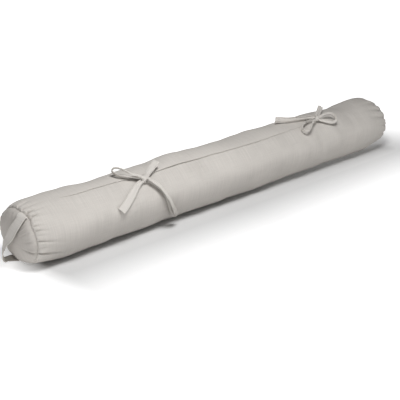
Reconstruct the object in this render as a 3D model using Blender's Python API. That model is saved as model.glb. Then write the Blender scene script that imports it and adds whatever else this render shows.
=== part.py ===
"""Draught excluder: a long filled cushion that lies along the foot of a door.

One cloth is rolled round the filling and overlaps itself along the top, where two pairs of
tape ties hold the overlap shut. Both ends of the roll are gathered into round end panels, and
a hanging loop crosses one of them. Metres, +Z up, the cushion's length along X, the overlap's
open side facing -Y. The finished model stands on the middle of its underside.
"""
import math
from collections import namedtuple

import bmesh
import bpy
from mathutils import Vector

# Driving dimensions of the filled cushion, before it is centred on the origin
LENGTH = 1.000
RADIUS = 0.0592
AXIS_HEIGHT = 0.93 * RADIUS
END_RISE_SHARE = 0.35
CLOTH = 0.002
GAP = 0.0003

# The flap: the upper cloth's edge, standing a little off the cloth that it covers
FLAP_LIP = 0.0022
FLAP_SLOT = 0.0008
FLAP_TUCK_DEG = 4.0
FLAP_SPREAD_DEG = 75.0
FLAP_REACH = 0.43
FLAP_FADE = 0.045

# Tape and strap
TAPE_THICK = 0.0013
KNOT_THICK = 0.0072
KNOT_WIDTH = 0.0120
KNOT_HALF_LENGTH = 0.0065
STRAP_THICK = 0.0016
STRAP_WIDTH = 0.018

# The gathers beside each end seam: how many, how far they run, how uneven they are
PLEATS_ROUND = 18
PLEAT_REACH_SHARE = 0.8
PLEAT_UNEVEN_SHARE = 0.35
PLEAT_WANDER_DEG = 25.0

# How finely the cloth is cut into flat facets, and the edges that stay sharp
FACETS_ROUND = 72
TAPE_STEPS = 3
SHARP_DEG = 40.0
WELD_DISTANCE = 0.00001

# Places of the cover's sections between its shoulders, closer together beside each bow
MIDDLE_PLACES = (-0.33, -0.28, -0.225, -0.17, -0.09, 0.0, 0.09, 0.17, 0.22, 0.27, 0.32)

# Shares of a shoulder's length and of a dome's radius at which sections are taken
SHOULDER_SHARES = (0.0, 0.04, 0.12, 0.25, 0.45, 0.70, 1.0)
FILLED_DOME_SHARES = (0.4, 0.75, 0.95, 1.0)
PANEL_DOME_SHARES = (1.0, 0.97, 0.88, 0.72, 0.5, 0.25)

# Girth of the filled roll along its length: tied in a little at each bow
Girth = namedtuple("Girth", "along radius")
GIRTHS = (
    Girth(-0.50, 0.0594),
    Girth(-0.36, 0.0594),
    Girth(-0.17, 0.0567),
    Girth(0.00, 0.0592),
    Girth(0.27, 0.0577),
    Girth(0.37, 0.0588),
    Girth(0.50, 0.0588),
)

# Each end: seam radius, how far its panel bulges, and how long the rounded shoulder is
End = namedtuple("End", "side seam_radius bulge shoulder pleat")
NEAR = End(side=-1, seam_radius=0.0507, bulge=0.0193, shoulder=0.070, pleat=0.0012)
FAR = End(side=1, seam_radius=0.0426, bulge=0.0237, shoulder=0.080, pleat=0.0013)

# Where the flap's edge runs, as the angle up from the front (-Y) round to the top
Edge = namedtuple("Edge", "along angle")
FLAP_EDGE = (
    Edge(-0.50, 76.0),
    Edge(-0.43, 73.0),
    Edge(-0.37, 67.5),
    Edge(-0.28, 67.5),
    Edge(-0.20, 64.5),
    Edge(-0.12, 63.5),
    Edge(0.00, 58.0),
    Edge(0.10, 58.0),
    Edge(0.19, 61.0),
    Edge(0.34, 62.5),
    Edge(0.50, 64.0),
)

# Places along the cushion of the two knots, each the middle of a row of its bow's first tape
NEAR_KNOT_ALONG = -0.2348
FAR_KNOT_ALONG = 0.2505

# A tape's path over the cushion: place along it, angle round it, height off the cloth, the
# angle of the tape's width from the cushion's length towards its girth, the tilt of that
# width off the cloth, and the width, which draws in where the tape is pinched
Tape = namedtuple("Tape", "along angle height side tilt width")

NEAR_A = (
    Tape(-0.3076, 13.2, 0.0042, -36, 6, 0.0140),
    Tape(-0.2938, 20.5, 0.0030, -36, 4, 0.0140),
    Tape(-0.2814, 28.0, 0.0026, -36, 0, 0.0140),
    Tape(-0.2706, 36.1, 0.0030, -37, 0, 0.0130),
    Tape(-0.2579, 44.9, 0.0040, -42, 0, 0.0105),
    Tape(-0.2450, 51.0, 0.0060, -48, 0, 0.0085),
    Tape(NEAR_KNOT_ALONG, 54.2, 0.0078, 60, 0, 0.0080),
    Tape(-0.2457, 58.3, 0.0070, 60, -8, 0.0090),
    Tape(-0.2565, 62.3, 0.0068, 60, -16, 0.0115),
    Tape(-0.2677, 67.1, 0.0068, 60, -20, 0.0130),
    Tape(-0.2767, 72.9, 0.0074, 60, -22, 0.0135),
    Tape(-0.2818, 79.4, 0.0095, 60, -22, 0.0135),
    Tape(-0.2818, 84.8, 0.0125, 60, -22, 0.0135),
    Tape(-0.2772, 86.0, 0.0155, 60, -22, 0.0135),
    Tape(-0.2724, 83.3, 0.0172, 60, -22, 0.0135),
    Tape(-0.2661, 76.5, 0.0165, 60, -22, 0.0130),
    Tape(-0.2566, 67.8, 0.0142, 60, -18, 0.0110),
    Tape(-0.2467, 60.8, 0.0118, 60, -8, 0.0090),
    Tape(-0.2425, 58.2, 0.0108, 60, 0, 0.0080),
)

NEAR_B = (
    Tape(-0.1840, 79.5, 0.0100, -50, -12, 0.0140),
    Tape(-0.1925, 75.0, 0.0088, -50, -10, 0.0140),
    Tape(-0.2045, 69.5, 0.0070, -50, -6, 0.0130),
    Tape(-0.2170, 63.5, 0.0042, -50, 0, 0.0100),
    Tape(-0.2270, 57.5, 0.0021, -30, 0, 0.0085),
    Tape(-0.2285, 52.0, 0.0021, -12, 0, 0.0080),
    Tape(-0.2260, 46.0, 0.0044, 190, 25, 0.0080),
    Tape(-0.2205, 39.0, 0.0066, 180, 42, 0.0090),
    Tape(-0.2148, 29.5, 0.0072, 172, 48, 0.0100),
    Tape(-0.2088, 21.0, 0.0072, 165, 50, 0.0105),
    Tape(-0.2048, 11.3, 0.0072, 160, 50, 0.0110),
    Tape(-0.1999, 1.5, 0.0072, 155, 48, 0.0110),
    Tape(-0.1951, -8.5, 0.0080, 150, 44, 0.0110),
    Tape(-0.1916, -16.0, 0.0098, 145, 40, 0.0110),
    Tape(-0.1890, -22.0, 0.0125, 142, 36, 0.0110),
    Tape(-0.1862, -24.5, 0.0152, 140, 34, 0.0110),
    Tape(-0.1838, -21.5, 0.0162, 140, 34, 0.0110),
    Tape(-0.1848, -14.5, 0.0140, 145, 38, 0.0110),
    Tape(-0.1890, -5.5, 0.0120, 150, 42, 0.0110),
    Tape(-0.1940, 4.2, 0.0108, 155, 46, 0.0110),
    Tape(-0.1984, 13.5, 0.0102, 160, 48, 0.0110),
    Tape(-0.2030, 23.6, 0.0102, 165, 48, 0.0105),
    Tape(-0.2086, 33.0, 0.0102, 170, 44, 0.0100),
    Tape(-0.2146, 42.3, 0.0098, 176, 38, 0.0090),
    Tape(-0.2215, 50.0, 0.0088, 185, 28, 0.0080),
)

FAR_A = (
    Tape(0.1579, 90.2, 0.0100, 54, 62, 0.0135),
    Tape(0.1710, 85.2, 0.0094, 54, 62, 0.0135),
    Tape(0.1850, 80.6, 0.0090, 54, 60, 0.0130),
    Tape(0.2010, 76.6, 0.0090, 58, 54, 0.0125),
    Tape(0.2171, 73.5, 0.0090, 64, 44, 0.0115),
    Tape(0.2340, 69.5, 0.0092, 72, 26, 0.0100),
    Tape(FAR_KNOT_ALONG, 65.2, 0.0096, 80, 0, 0.0085),
    Tape(0.2623, 60.6, 0.0062, 60, 0, 0.0090),
    Tape(0.2713, 56.0, 0.0040, 55, 0, 0.0105),
    Tape(0.2801, 51.6, 0.0038, 52, -4, 0.0120),
    Tape(0.2885, 48.0, 0.0050, 50, -10, 0.0120),
    Tape(0.2952, 47.5, 0.0076, 48, -18, 0.0120),
    Tape(0.2990, 51.5, 0.0104, 46, -26, 0.0120),
    Tape(0.2978, 58.0, 0.0126, 44, -30, 0.0120),
    Tape(0.2905, 64.0, 0.0138, 42, -32, 0.0115),
    Tape(0.2785, 67.0, 0.0136, 44, -28, 0.0100),
    Tape(0.2660, 66.8, 0.0122, 55, -12, 0.0080),
)

FAR_B = (
    Tape(0.2970, 87.6, 0.0140, -38, -18, 0.0115),
    Tape(0.2870, 83.2, 0.0116, -40, -14, 0.0115),
    Tape(0.2762, 78.0, 0.0090, -45, -8, 0.0110),
    Tape(0.2672, 73.2, 0.0060, -50, 0, 0.0095),
    Tape(0.2575, 68.0, 0.0036, -50, 0, 0.0085),
    Tape(0.2470, 64.0, 0.0037, -60, 0, 0.0085),
    Tape(0.2330, 62.0, 0.0052, -60, 0, 0.0090),
    Tape(0.2150, 61.5, 0.0078, 30, -36, 0.0100),
    Tape(0.1997, 56.8, 0.0066, 28, -42, 0.0105),
    Tape(0.1928, 48.5, 0.0064, 26, -44, 0.0105),
    Tape(0.1985, 41.5, 0.0066, 26, -44, 0.0105),
    Tape(0.2110, 41.5, 0.0072, 26, -42, 0.0105),
    Tape(0.2195, 46.5, 0.0080, 26, -38, 0.0105),
    Tape(0.2255, 53.0, 0.0090, 30, -30, 0.0095),
    Tape(0.2330, 58.5, 0.0104, 40, -18, 0.0080),
    Tape(0.2380, 61.0, 0.0118, 50, -8, 0.0075),
)

# The hanging loop, from its sewn end at the top of the near seam down to its sewn end below
Strap = namedtuple("Strap", "along across up turn lean")
LOOP = (
    Strap(-0.4820, -0.0184, 0.1023, 0, 18),
    Strap(-0.4903, -0.0165, 0.0974, 0, 16),
    Strap(-0.4964, -0.0128, 0.0872, 4, 12),
    Strap(-0.5007, -0.0090, 0.0767, 8, 10),
    Strap(-0.5046, -0.0030, 0.0640, 15, 4),
    Strap(-0.5084, 0.0045, 0.0505, 24, -4),
    Strap(-0.5110, 0.0105, 0.0380, 32, -12),
    Strap(-0.5112, 0.0155, 0.0250, 34, -16),
    Strap(-0.5070, 0.0190, 0.0145, 30, -12),
    Strap(-0.4980, 0.0228, 0.0092, 16, 6),
    Strap(-0.4827, 0.0267, 0.0070, 0, 28),
)

# Colours of the cloth, its end panels and the tape, and how rough each cloth is
LINEN = (0.514, 0.478, 0.427, 1.0)
LINEN_END = (0.480, 0.447, 0.402, 1.0)
TAPE_LINEN = (0.558, 0.521, 0.468, 1.0)
CLOTH_ROUGHNESS = 0.92
TAPE_ROUGHNESS = 0.9


def smooth_step(share):
    """Ease a share from 0 to 1 with a level start and end."""
    share = min(max(share, 0.0), 1.0)
    return share * share * (3.0 - 2.0 * share)


def read_along(rows, along, column):
    """Read a column of a table at a place along the cushion, on a smooth curve through its rows."""
    values = [getattr(row, column) for row in rows]
    places = [row.along for row in rows]
    if along <= places[0] or along >= places[-1]:
        return values[0] if along <= places[0] else values[-1]
    slopes = [0.0] * len(rows)
    for place in range(1, len(rows) - 1):
        slopes[place] = ((values[place + 1] - values[place - 1])
                         / (places[place + 1] - places[place - 1]))
    low = max(place for place in range(len(rows) - 1) if places[place] <= along)
    span = places[low + 1] - places[low]
    share = (along - places[low]) / span
    ease = smooth_step(share)
    lead = share * (1.0 - share) ** 2 * span * slopes[low]
    trail = share * share * (share - 1.0) * span * slopes[low + 1]
    return values[low] + (values[low + 1] - values[low]) * ease + lead + trail


def seam_at(end):
    """Place along the cushion of an end's seam."""
    return end.side * (LENGTH / 2 - end.bulge)


def drawn_in(end, along):
    """Share of the full girth that an end's rounded shoulder leaves at a place."""
    share = min(abs(seam_at(end) - along) / end.shoulder, 1.0)
    if end.side * (along - seam_at(end)) > 0:
        share = 0.0
    seam_share = end.seam_radius / read_along(GIRTHS, seam_at(end), "radius")
    return seam_share + (1.0 - seam_share) * math.sqrt(1.0 - (1.0 - share) ** 2)


def body_radius(along):
    """Radius of the roll at a place along it, shoulders included."""
    radius = read_along(GIRTHS, along, "radius")
    return radius * drawn_in(NEAR, along) * drawn_in(FAR, along)


def centre_height(radius):
    """Height of a section's centre: the narrow ends rise a little off the floor."""
    return AXIS_HEIGHT - END_RISE_SHARE * max(RADIUS - radius, 0.0)


def on_ring(along, angle, radius, centre):
    """Point of a section at an angle in degrees, laid flat where it meets the floor."""
    turn = math.radians(angle)
    up = centre + radius * math.sin(turn)
    return Vector((along, -radius * math.cos(turn), max(up, 0.0)))


def pleat_rise(along, angle):
    """Ripple of the gathered cloth beside each end seam."""
    rise = 0.0
    for end in (NEAR, FAR):
        away = abs(seam_at(end) - along)
        reach = smooth_step(1.0 - away / (PLEAT_REACH_SHARE * end.shoulder))
        uneven = 1.0 + PLEAT_UNEVEN_SHARE * math.sin(math.radians(5 * angle) + end.side)
        wander = PLEAT_WANDER_DEG * math.sin(math.radians(3 * angle))
        wave = math.cos(math.radians(PLEATS_ROUND * angle + wander))
        rise += end.pleat * reach * uneven * wave
    return rise


def flap_share(along):
    """How far the flap's lip has risen at a place: it dies away before each end."""
    return smooth_step((FLAP_REACH - abs(along)) / FLAP_FADE)


def cover_section(along):
    """One closed section of the rolled cloth, from the flap's lip round to the slot below it."""
    edge = read_along(FLAP_EDGE, along, "angle")
    radius = body_radius(along)
    centre = centre_height(radius)
    share = flap_share(along)
    points = []
    for facet in range(FACETS_ROUND):
        turn = 360.0 * facet / FACETS_ROUND
        lip = FLAP_LIP * share * (1.0 - smooth_step(turn / FLAP_SPREAD_DEG))
        ripple = pleat_rise(along, edge + turn)
        points.append(on_ring(along, edge + turn, radius + lip + ripple, centre))
    floor = radius + pleat_rise(along, edge)
    tuck = edge + FLAP_TUCK_DEG * math.sqrt(share)
    points.append(on_ring(along, edge, floor, centre))
    points.append(on_ring(along, tuck, floor, centre))
    points.append(on_ring(along, tuck, floor + FLAP_SLOT * share, centre))
    points.append(on_ring(along, edge, floor + FLAP_SLOT * share, centre))
    return points


def shoulder_places(end):
    """Places along one rounded shoulder, closest together beside the seam."""
    return [seam_at(end) - end.side * share * end.shoulder for share in SHOULDER_SHARES]


def loft(name, rings, material):
    """Make one closed solid from rings of equal length that run between two end points."""
    mesh = bmesh.new()
    first = mesh.verts.new(rings[0])
    last = mesh.verts.new(rings[-1])
    loops = [[mesh.verts.new(point) for point in ring] for ring in rings[1:-1]]
    count = len(loops[0])
    for low, high in zip(loops, loops[1:]):
        for place in range(count):
            after = (place + 1) % count
            mesh.faces.new((low[place], low[after], high[after], high[place]))
    for place in range(count):
        after = (place + 1) % count
        mesh.faces.new((first, loops[0][after], loops[0][place]))
        mesh.faces.new((last, loops[-1][place], loops[-1][after]))
    bmesh.ops.remove_doubles(mesh, verts=mesh.verts, dist=WELD_DISTANCE)
    bmesh.ops.triangulate(mesh, faces=mesh.faces)
    bmesh.ops.recalc_face_normals(mesh, faces=mesh.faces)
    return finish_object(name, mesh, material)


def finish_object(name, mesh, material):
    """Turn a bmesh into a named object that wears one material."""
    data = bpy.data.meshes.new(name)
    mesh.to_mesh(data)
    mesh.free()
    data.materials.append(material)
    part = bpy.data.objects.new(name, data)
    bpy.context.scene.collection.objects.link(part)
    data.shade_smooth()
    data.set_sharp_from_angle(angle=math.radians(SHARP_DEG))
    return part


def dome_rings(end, radius, bulge, rim_along, facets):
    """Rings of an end panel's dome from its rim inwards, and its crown point."""
    centre = centre_height(end.seam_radius)
    angles = [360.0 * facet / facets for facet in range(facets)]
    rings = []
    for share in PANEL_DOME_SHARES:
        along = rim_along + end.side * bulge * math.sqrt(1.0 - share * share)
        rings.append([on_ring(along, angle, radius * share, centre) for angle in angles])
    crown = Vector((rim_along + end.side * bulge, 0.0, centre))
    return rings, crown


def build_cover(material):
    """The rolled and filled cloth, from the dome under one end panel to the other."""
    inset = CLOTH + GAP
    sections = []
    crowns = []
    for end in (NEAR, FAR):
        crowns.append(Vector((seam_at(end) + end.side * (end.bulge - inset), 0.0,
                              centre_height(end.seam_radius))))
    for share in FILLED_DOME_SHARES:
        sections.append(end_section(NEAR, share, inset))
    flap_half_risen = FLAP_REACH - FLAP_FADE / 2
    places = [-FLAP_REACH, -flap_half_risen, flap_half_risen, FLAP_REACH, *MIDDLE_PLACES]
    places += shoulder_places(NEAR) + shoulder_places(FAR)
    for along in sorted(places):
        sections.append(cover_section(along))
    for share in reversed(FILLED_DOME_SHARES):
        sections.append(end_section(FAR, share, inset))
    return loft("cover", [crowns[0]] + sections + [crowns[1]], material)


def end_section(end, share, inset):
    """A section of the filled dome that lies under an end panel."""
    radius = (end.seam_radius - inset) * share
    along = seam_at(end) + end.side * (end.bulge - inset) * math.sqrt(1.0 - share * share)
    edge = read_along(FLAP_EDGE, along, "angle")
    centre = centre_height(end.seam_radius)
    turns = [360.0 * facet / FACETS_ROUND for facet in range(FACETS_ROUND)]
    points = [on_ring(along, edge + turn, radius, centre) for turn in turns]
    return points + [points[0]] * 4


def build_end_panel(name, end, material):
    """A round panel of cloth, bulging over the filling and sewn to the gathered rim."""
    facets = FACETS_ROUND * 2 // 3
    rim = seam_at(end) + end.side * GAP
    outer, crown = dome_rings(end, end.seam_radius, end.bulge, rim, facets)
    inner, hollow = dome_rings(end, end.seam_radius - CLOTH, end.bulge - CLOTH, rim, facets)
    return loft(name, [crown] + outer[::-1] + inner + [hollow], material)


def curve_through(rows, steps):
    """Smooth the columns of a path's rows, with a few steps between each pair."""
    last = len(rows) - 1
    out = []
    for place in range(last):
        four = [rows[max(place - 1, 0)], rows[place], rows[place + 1],
                rows[min(place + 2, last)]]
        for step in range(steps):
            out.append(catmull_rom(four, step / steps))
    out.append(rows[last])
    return out


def catmull_rom(four, share):
    """Blend four neighbouring rows of numbers at a share between the middle two."""
    before, low, high, after = four
    square, cube = share * share, share ** 3
    return [0.5 * (2 * b + (c - a) * share + (2 * a - 5 * b + 4 * c - d) * square
                   + (3 * b - a - 3 * c + d) * cube)
            for a, b, c, d in zip(before, low, high, after)]


def over_cloth(row):
    """Point and width direction of a tape's row, in the model's frame."""
    radius = body_radius(row.along)
    centre = centre_height(radius)
    turn = math.radians(row.angle)
    outward = Vector((0.0, -math.cos(turn), math.sin(turn)))
    girth = Vector((0.0, math.sin(turn), math.cos(turn)))
    point = Vector((row.along, 0.0, centre)) + outward * (radius + row.height)
    side, tilt = math.radians(row.side), math.radians(row.tilt)
    width = Vector((1.0, 0.0, 0.0)) * math.cos(side) + girth * math.sin(side)
    width = width * math.cos(tilt) + outward * math.sin(tilt)
    return point, width


def build_ribbon(name, path, material):
    """A flat band along a path of centre, width direction, width and thickness."""
    rings = []
    for place, (centre, side, width, thick) in enumerate(path):
        before = path[max(place - 1, 0)][0]
        after = path[min(place + 1, len(path) - 1)][0]
        ahead = (after - before).normalized()
        side = (side - ahead * side.dot(ahead)).normalized()
        face = ahead.cross(side)
        half, lift = side * (width / 2), face * (thick / 2)
        rings.append([centre - half - lift, centre + half - lift,
                      centre + half + lift, centre - half + lift])
    mesh = bmesh.new()
    loops = [[mesh.verts.new(point) for point in ring] for ring in rings]
    for low, high in zip(loops, loops[1:]):
        for place in range(4):
            after = (place + 1) % 4
            mesh.faces.new((low[place], low[after], high[after], high[place]))
    mesh.faces.new(loops[0][::-1])
    mesh.faces.new(loops[-1])
    bmesh.ops.triangulate(mesh, faces=mesh.faces)
    bmesh.ops.recalc_face_normals(mesh, faces=mesh.faces)
    return finish_object(name, mesh, material)


def keep_turning(sides):
    """Flip width directions where needed so that each follows on from the one before."""
    for place in range(1, len(sides)):
        if sides[place].dot(sides[place - 1]) < 0:
            sides[place] = -sides[place]
    return sides


def build_tape(name, rows, material, knot=None):
    """One tape of a bow: its tail, its loop and, where it holds the bow, the knot."""
    placed = [over_cloth(row) for row in rows]
    sides = keep_turning([side for _, side in placed])
    table = [[*point, *side, row.width] for (point, _), side, row in zip(placed, sides, rows)]
    path = []
    for numbers in curve_through(table, TAPE_STEPS):
        centre, side, width = Vector(numbers[0:3]), Vector(numbers[3:6]), numbers[6]
        swell = 0.0
        if knot is not None:
            swell = smooth_step(1.6 * (1.0 - (centre - knot).length / KNOT_HALF_LENGTH))
        thick = TAPE_THICK + (KNOT_THICK - TAPE_THICK) * swell
        path.append((centre, side, width + (KNOT_WIDTH - width) * swell, thick))
    return build_ribbon(name, path, material)


def build_hanging_loop(material):
    """The strap across the near end, sewn at both of its ends and bowed out between them."""
    table = []
    for row in LOOP:
        turn, lean = math.radians(row.turn), math.radians(row.lean)
        side = (math.sin(turn), math.cos(turn) * math.cos(lean), math.cos(turn) * math.sin(lean))
        table.append([row.along, row.across, row.up, *side])
    path = [(Vector(numbers[0:3]), Vector(numbers[3:6]), STRAP_WIDTH, STRAP_THICK)
            for numbers in curve_through(table, TAPE_STEPS)]
    return build_ribbon("hanging_loop", path, material)


def make_material(name, colour, roughness):
    """A plain woven finish of one colour."""
    material = bpy.data.materials.new(name)
    material.use_nodes = True
    shader = material.node_tree.nodes["Principled BSDF"]
    shader.inputs["Base Color"].default_value = colour
    shader.inputs["Roughness"].default_value = roughness
    shader.inputs["Metallic"].default_value = 0.0
    return material


def cloth(name, colour=LINEN):
    """The finish of a piece cut from the cover's linen."""
    return make_material(name, colour, CLOTH_ROUGHNESS)


def tape(name):
    """The finish of one tape."""
    return make_material(name, TAPE_LINEN, TAPE_ROUGHNESS)


def stand_on_origin(parts):
    """Move every piece so that the middle of the whole model's box stands on the origin."""
    corners = [part.matrix_world @ vertex.co for part in parts for vertex in part.data.vertices]
    middle_x = (min(c.x for c in corners) + max(c.x for c in corners)) / 2
    middle_y = (min(c.y for c in corners) + max(c.y for c in corners)) / 2
    for part in parts:
        part.location = (-middle_x, -middle_y, 0.0)


def knot_centre(rows, along):
    """Centre of a bow's knot: the point of its tape's row that lies at the given place."""
    row = next(row for row in rows if row.along == along)
    return over_cloth(row)[0]


def main():
    """Build every piece and stand the model on the origin."""
    for old in list(bpy.data.objects):
        bpy.data.objects.remove(old, do_unlink=True)
    near_knot = knot_centre(NEAR_A, NEAR_KNOT_ALONG)
    far_knot = knot_centre(FAR_A, FAR_KNOT_ALONG)
    parts = [
        build_cover(cloth("cover_linen")),
        build_end_panel("end_panel_near", NEAR, cloth("end_near_linen", LINEN_END)),
        build_end_panel("end_panel_far", FAR, cloth("end_far_linen", LINEN_END)),
        build_hanging_loop(cloth("loop_linen")),
        build_tape("tie_near_a", NEAR_A, tape("near_tape_a"), near_knot),
        build_tape("tie_near_b", NEAR_B, tape("near_tape_b")),
        build_tape("tie_far_a", FAR_A, tape("far_tape_a"), far_knot),
        build_tape("tie_far_b", FAR_B, tape("far_tape_b")),
    ]
    bpy.context.view_layer.update()
    stand_on_origin(parts)


main()
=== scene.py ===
"""Looks of a draught excluder: a long filled roll of linen-look cloth, seen from above one end.

The roll's cloth overlaps itself along the top front and is held by two tape bows. Both ends are
gathered into round panels, and a strap hangs across the near one. Metres, +Z up, the roll along X.
"""
import logging
import math
from dataclasses import dataclass, field
from enum import Enum
from typing import Iterable, NamedTuple, Optional, Sequence, Union

import bpy
import numpy as np
from mathutils import Matrix, Vector


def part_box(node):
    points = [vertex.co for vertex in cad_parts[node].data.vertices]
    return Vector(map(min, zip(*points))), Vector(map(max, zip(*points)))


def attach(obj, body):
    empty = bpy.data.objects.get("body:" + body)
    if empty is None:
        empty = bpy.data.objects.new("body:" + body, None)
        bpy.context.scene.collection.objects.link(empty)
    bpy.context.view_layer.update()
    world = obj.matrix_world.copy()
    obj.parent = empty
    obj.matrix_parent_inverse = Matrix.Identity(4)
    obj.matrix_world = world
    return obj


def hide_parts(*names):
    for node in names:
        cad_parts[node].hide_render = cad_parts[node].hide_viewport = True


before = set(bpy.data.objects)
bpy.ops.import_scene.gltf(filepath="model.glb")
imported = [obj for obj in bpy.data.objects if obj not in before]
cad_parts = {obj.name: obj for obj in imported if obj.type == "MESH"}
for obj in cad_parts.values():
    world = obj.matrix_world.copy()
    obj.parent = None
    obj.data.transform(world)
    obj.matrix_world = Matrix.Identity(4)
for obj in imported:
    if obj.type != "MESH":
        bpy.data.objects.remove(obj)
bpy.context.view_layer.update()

LOG = logging.getLogger("draught_excluder")
BODY = "root"
UV_NAME = "cloth"
# The middle of a noise's range, and how deep a tube's cap reaches in the UV map
MIDDLE = 0.5
CAP_DEPTH = 0.02


class Side(Enum):
    """Which end of the roll something belongs to, as its direction along X."""

    NEAR = -1
    FAR = 1


class Girth(NamedTuple):
    """Radius of the filled roll at a place along it."""

    along: float
    radius: float


class Edge(NamedTuple):
    """Angle of the flap's edge, from the front (-Y) up to the top, at a place along the roll."""

    along: float
    angle: float


class Lip(NamedTuple):
    """How high the flap's edge stands off the cloth below it, and how far the slot gapes."""

    along: float
    lift: float
    slot: float


class Form(NamedTuple):
    """How far the filling lifts the roll's back top and its underside at a place along it."""

    along: float
    top: float
    under: float


class End(NamedTuple):
    """One end: its seam's radius, its panel's bulge and the length of its rounded shoulder.

    The lean says how far its top stands out for each metre of height, and the last two how
    square the bulge is on average and how much squarer it is at the top.
    """

    side: Side
    seam_radius: float
    bulge: float
    shoulder: float
    lean: float
    square: float
    top_square: float


class Pleat(NamedTuple):
    """One gather that runs from an end seam along the roll."""

    angle: float
    depth: float
    width_deg: float
    reach: float
    drift_deg: float


class Crease(NamedTuple):
    """A soft fold over the cloth through three places, a trough if its height is negative."""

    start: tuple[float, float]
    middle: tuple[float, float]
    finish: tuple[float, float]
    width: float
    height: float


class Wave(NamedTuple):
    """A slow wave of the filling: its share, its pace along and round the roll, its start."""

    share: float
    along: float
    around: int
    start: float


class TapeRow(NamedTuple):
    """A place on a tape's path.

    Place along the roll, angle round it, height off the cloth, angle of the tape's width from
    the roll's length towards its girth, tilt of that width off the cloth, and the width.
    """

    along: float
    angle: float
    height: float
    side: float
    tilt: float
    width: float


class StrapRow(NamedTuple):
    """A place on the hanging strap: its centre, and the turn and lean of its width in degrees."""

    along: float
    across: float
    up: float
    turn: float
    lean: float


# The roll's girth, thinner where the bows hold it
GIRTHS = (
    Girth(-0.50, 0.0594),
    Girth(-0.36, 0.0594),
    Girth(-0.17, 0.0567),
    Girth(0.00, 0.0592),
    Girth(0.27, 0.0577),
    Girth(0.37, 0.0588),
    Girth(0.50, 0.0588),
)
NEAR = End(Side.NEAR, 0.0515, bulge=0.0193, shoulder=0.070, lean=0.07, square=2.3, top_square=0.6)
FAR = End(Side.FAR, 0.0426, bulge=0.0237, shoulder=0.080, lean=0.0, square=2.0, top_square=0.0)

# The flap's edge along the top front, and how it stands off the cloth below it
FLAP_EDGE = (
    Edge(-0.50, 76.0),
    Edge(-0.43, 73.0),
    Edge(-0.37, 67.5),
    Edge(-0.28, 67.5),
    Edge(-0.20, 64.5),
    Edge(-0.12, 63.5),
    Edge(0.00, 58.0),
    Edge(0.10, 58.0),
    Edge(0.19, 61.0),
    Edge(0.34, 62.5),
    Edge(0.50, 64.0),
)
FLAP_LIPS = (
    Lip(-0.43, 0.0, 0.0),
    Lip(-0.40, 0.0007, 0.0001),
    Lip(-0.37, 0.0016, 0.0005),
    Lip(-0.28, 0.0018, 0.0006),
    Lip(-0.235, 0.0014, 0.0003),
    Lip(-0.20, 0.0013, 0.0002),
    Lip(-0.175, 0.0028, 0.0014),
    Lip(-0.14, 0.0032, 0.0017),
    Lip(-0.11, 0.0027, 0.0012),
    Lip(-0.06, 0.0023, 0.0008),
    Lip(0.05, 0.0022, 0.0007),
    Lip(0.12, 0.0018, 0.0005),
    Lip(0.18, 0.0011, 0.0002),
    Lip(0.24, 0.0008, 0.0001),
    Lip(0.32, 0.0004, 0.0001),
    Lip(0.38, 0.0, 0.0),
)

# The filling's rise and fall along the roll's back top and its underside
FORMS = (
    Form(-0.500, 0.0030, -0.0055),
    Form(-0.480, 0.0028, -0.0050),
    Form(-0.450, 0.0022, -0.0025),
    Form(-0.420, 0.0003, 0.0),
    Form(-0.390, -0.0012, 0.0),
    Form(-0.360, -0.0018, 0.0),
    Form(-0.330, -0.0036, 0.0),
    Form(-0.300, -0.0034, 0.0),
    Form(-0.275, -0.0014, 0.0),
    Form(-0.245, 0.0, 0.0),
    Form(-0.188, 0.0, 0.0),
    Form(-0.170, 0.0020, 0.0),
    Form(-0.150, 0.0050, 0.0),
    Form(-0.120, 0.0034, 0.0),
    Form(-0.090, 0.0010, 0.0),
    Form(-0.050, -0.0013, 0.0),
    Form(-0.010, -0.0024, 0.0),
    Form(0.040, -0.0020, 0.0),
    Form(0.100, -0.0008, 0.0),
    Form(0.200, 0.0, 0.0),
    Form(0.300, -0.0006, 0.0),
    Form(0.330, -0.0042, 0.0),
    Form(0.357, -0.0064, 0.0),
    Form(0.385, -0.0032, 0.0),
    Form(0.415, 0.0014, 0.0),
    Form(0.442, 0.0034, -0.0014),
    Form(0.462, 0.0010, -0.0034),
    Form(0.480, 0.0, -0.0060),
    Form(0.500, 0.0, -0.0064),
)

# Gathers that stand out at the near seam: the deepest, then the others from the lowest upwards
NEAR_PLEATS = (
    Pleat(-16.5, 0.0130, 1.4, 0.034, -9.0),
    Pleat(-36.0, 0.0030, 2.6, 0.020, -8.0),
    Pleat(-6.0, 0.0026, 2.2, 0.017, -6.0),
    Pleat(9.0, 0.0056, 2.2, 0.028, -10.0),
    Pleat(19.0, 0.0030, 1.9, 0.012, -8.0),
    Pleat(29.0, 0.0062, 1.9, 0.014, -10.0),
    Pleat(38.0, 0.0064, 1.9, 0.012, -8.0),
    Pleat(47.0, 0.0036, 1.9, 0.010, -6.0),
    Pleat(56.0, 0.0076, 1.9, 0.018, -4.0),
    Pleat(66.0, 0.0084, 2.0, 0.020, -2.0),
    Pleat(77.0, 0.0076, 2.0, 0.018, 0.0),
    Pleat(89.0, 0.0060, 2.4, 0.018, 2.0),
)
# Gathers that stand out at the far seam, where the roll's outline is scalloped
FAR_PLEATS = (
    Pleat(-18.0, 0.0050, 4.2, 0.030, 6.0),
    Pleat(3.0, 0.0060, 4.4, 0.034, 6.0),
    Pleat(25.0, 0.0090, 4.8, 0.040, 4.0),
    Pleat(46.0, 0.0066, 4.4, 0.036, 2.0),
    Pleat(66.0, 0.0060, 4.4, 0.036, 0.0),
    Pleat(87.0, 0.0052, 4.4, 0.034, -2.0),
)

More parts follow.
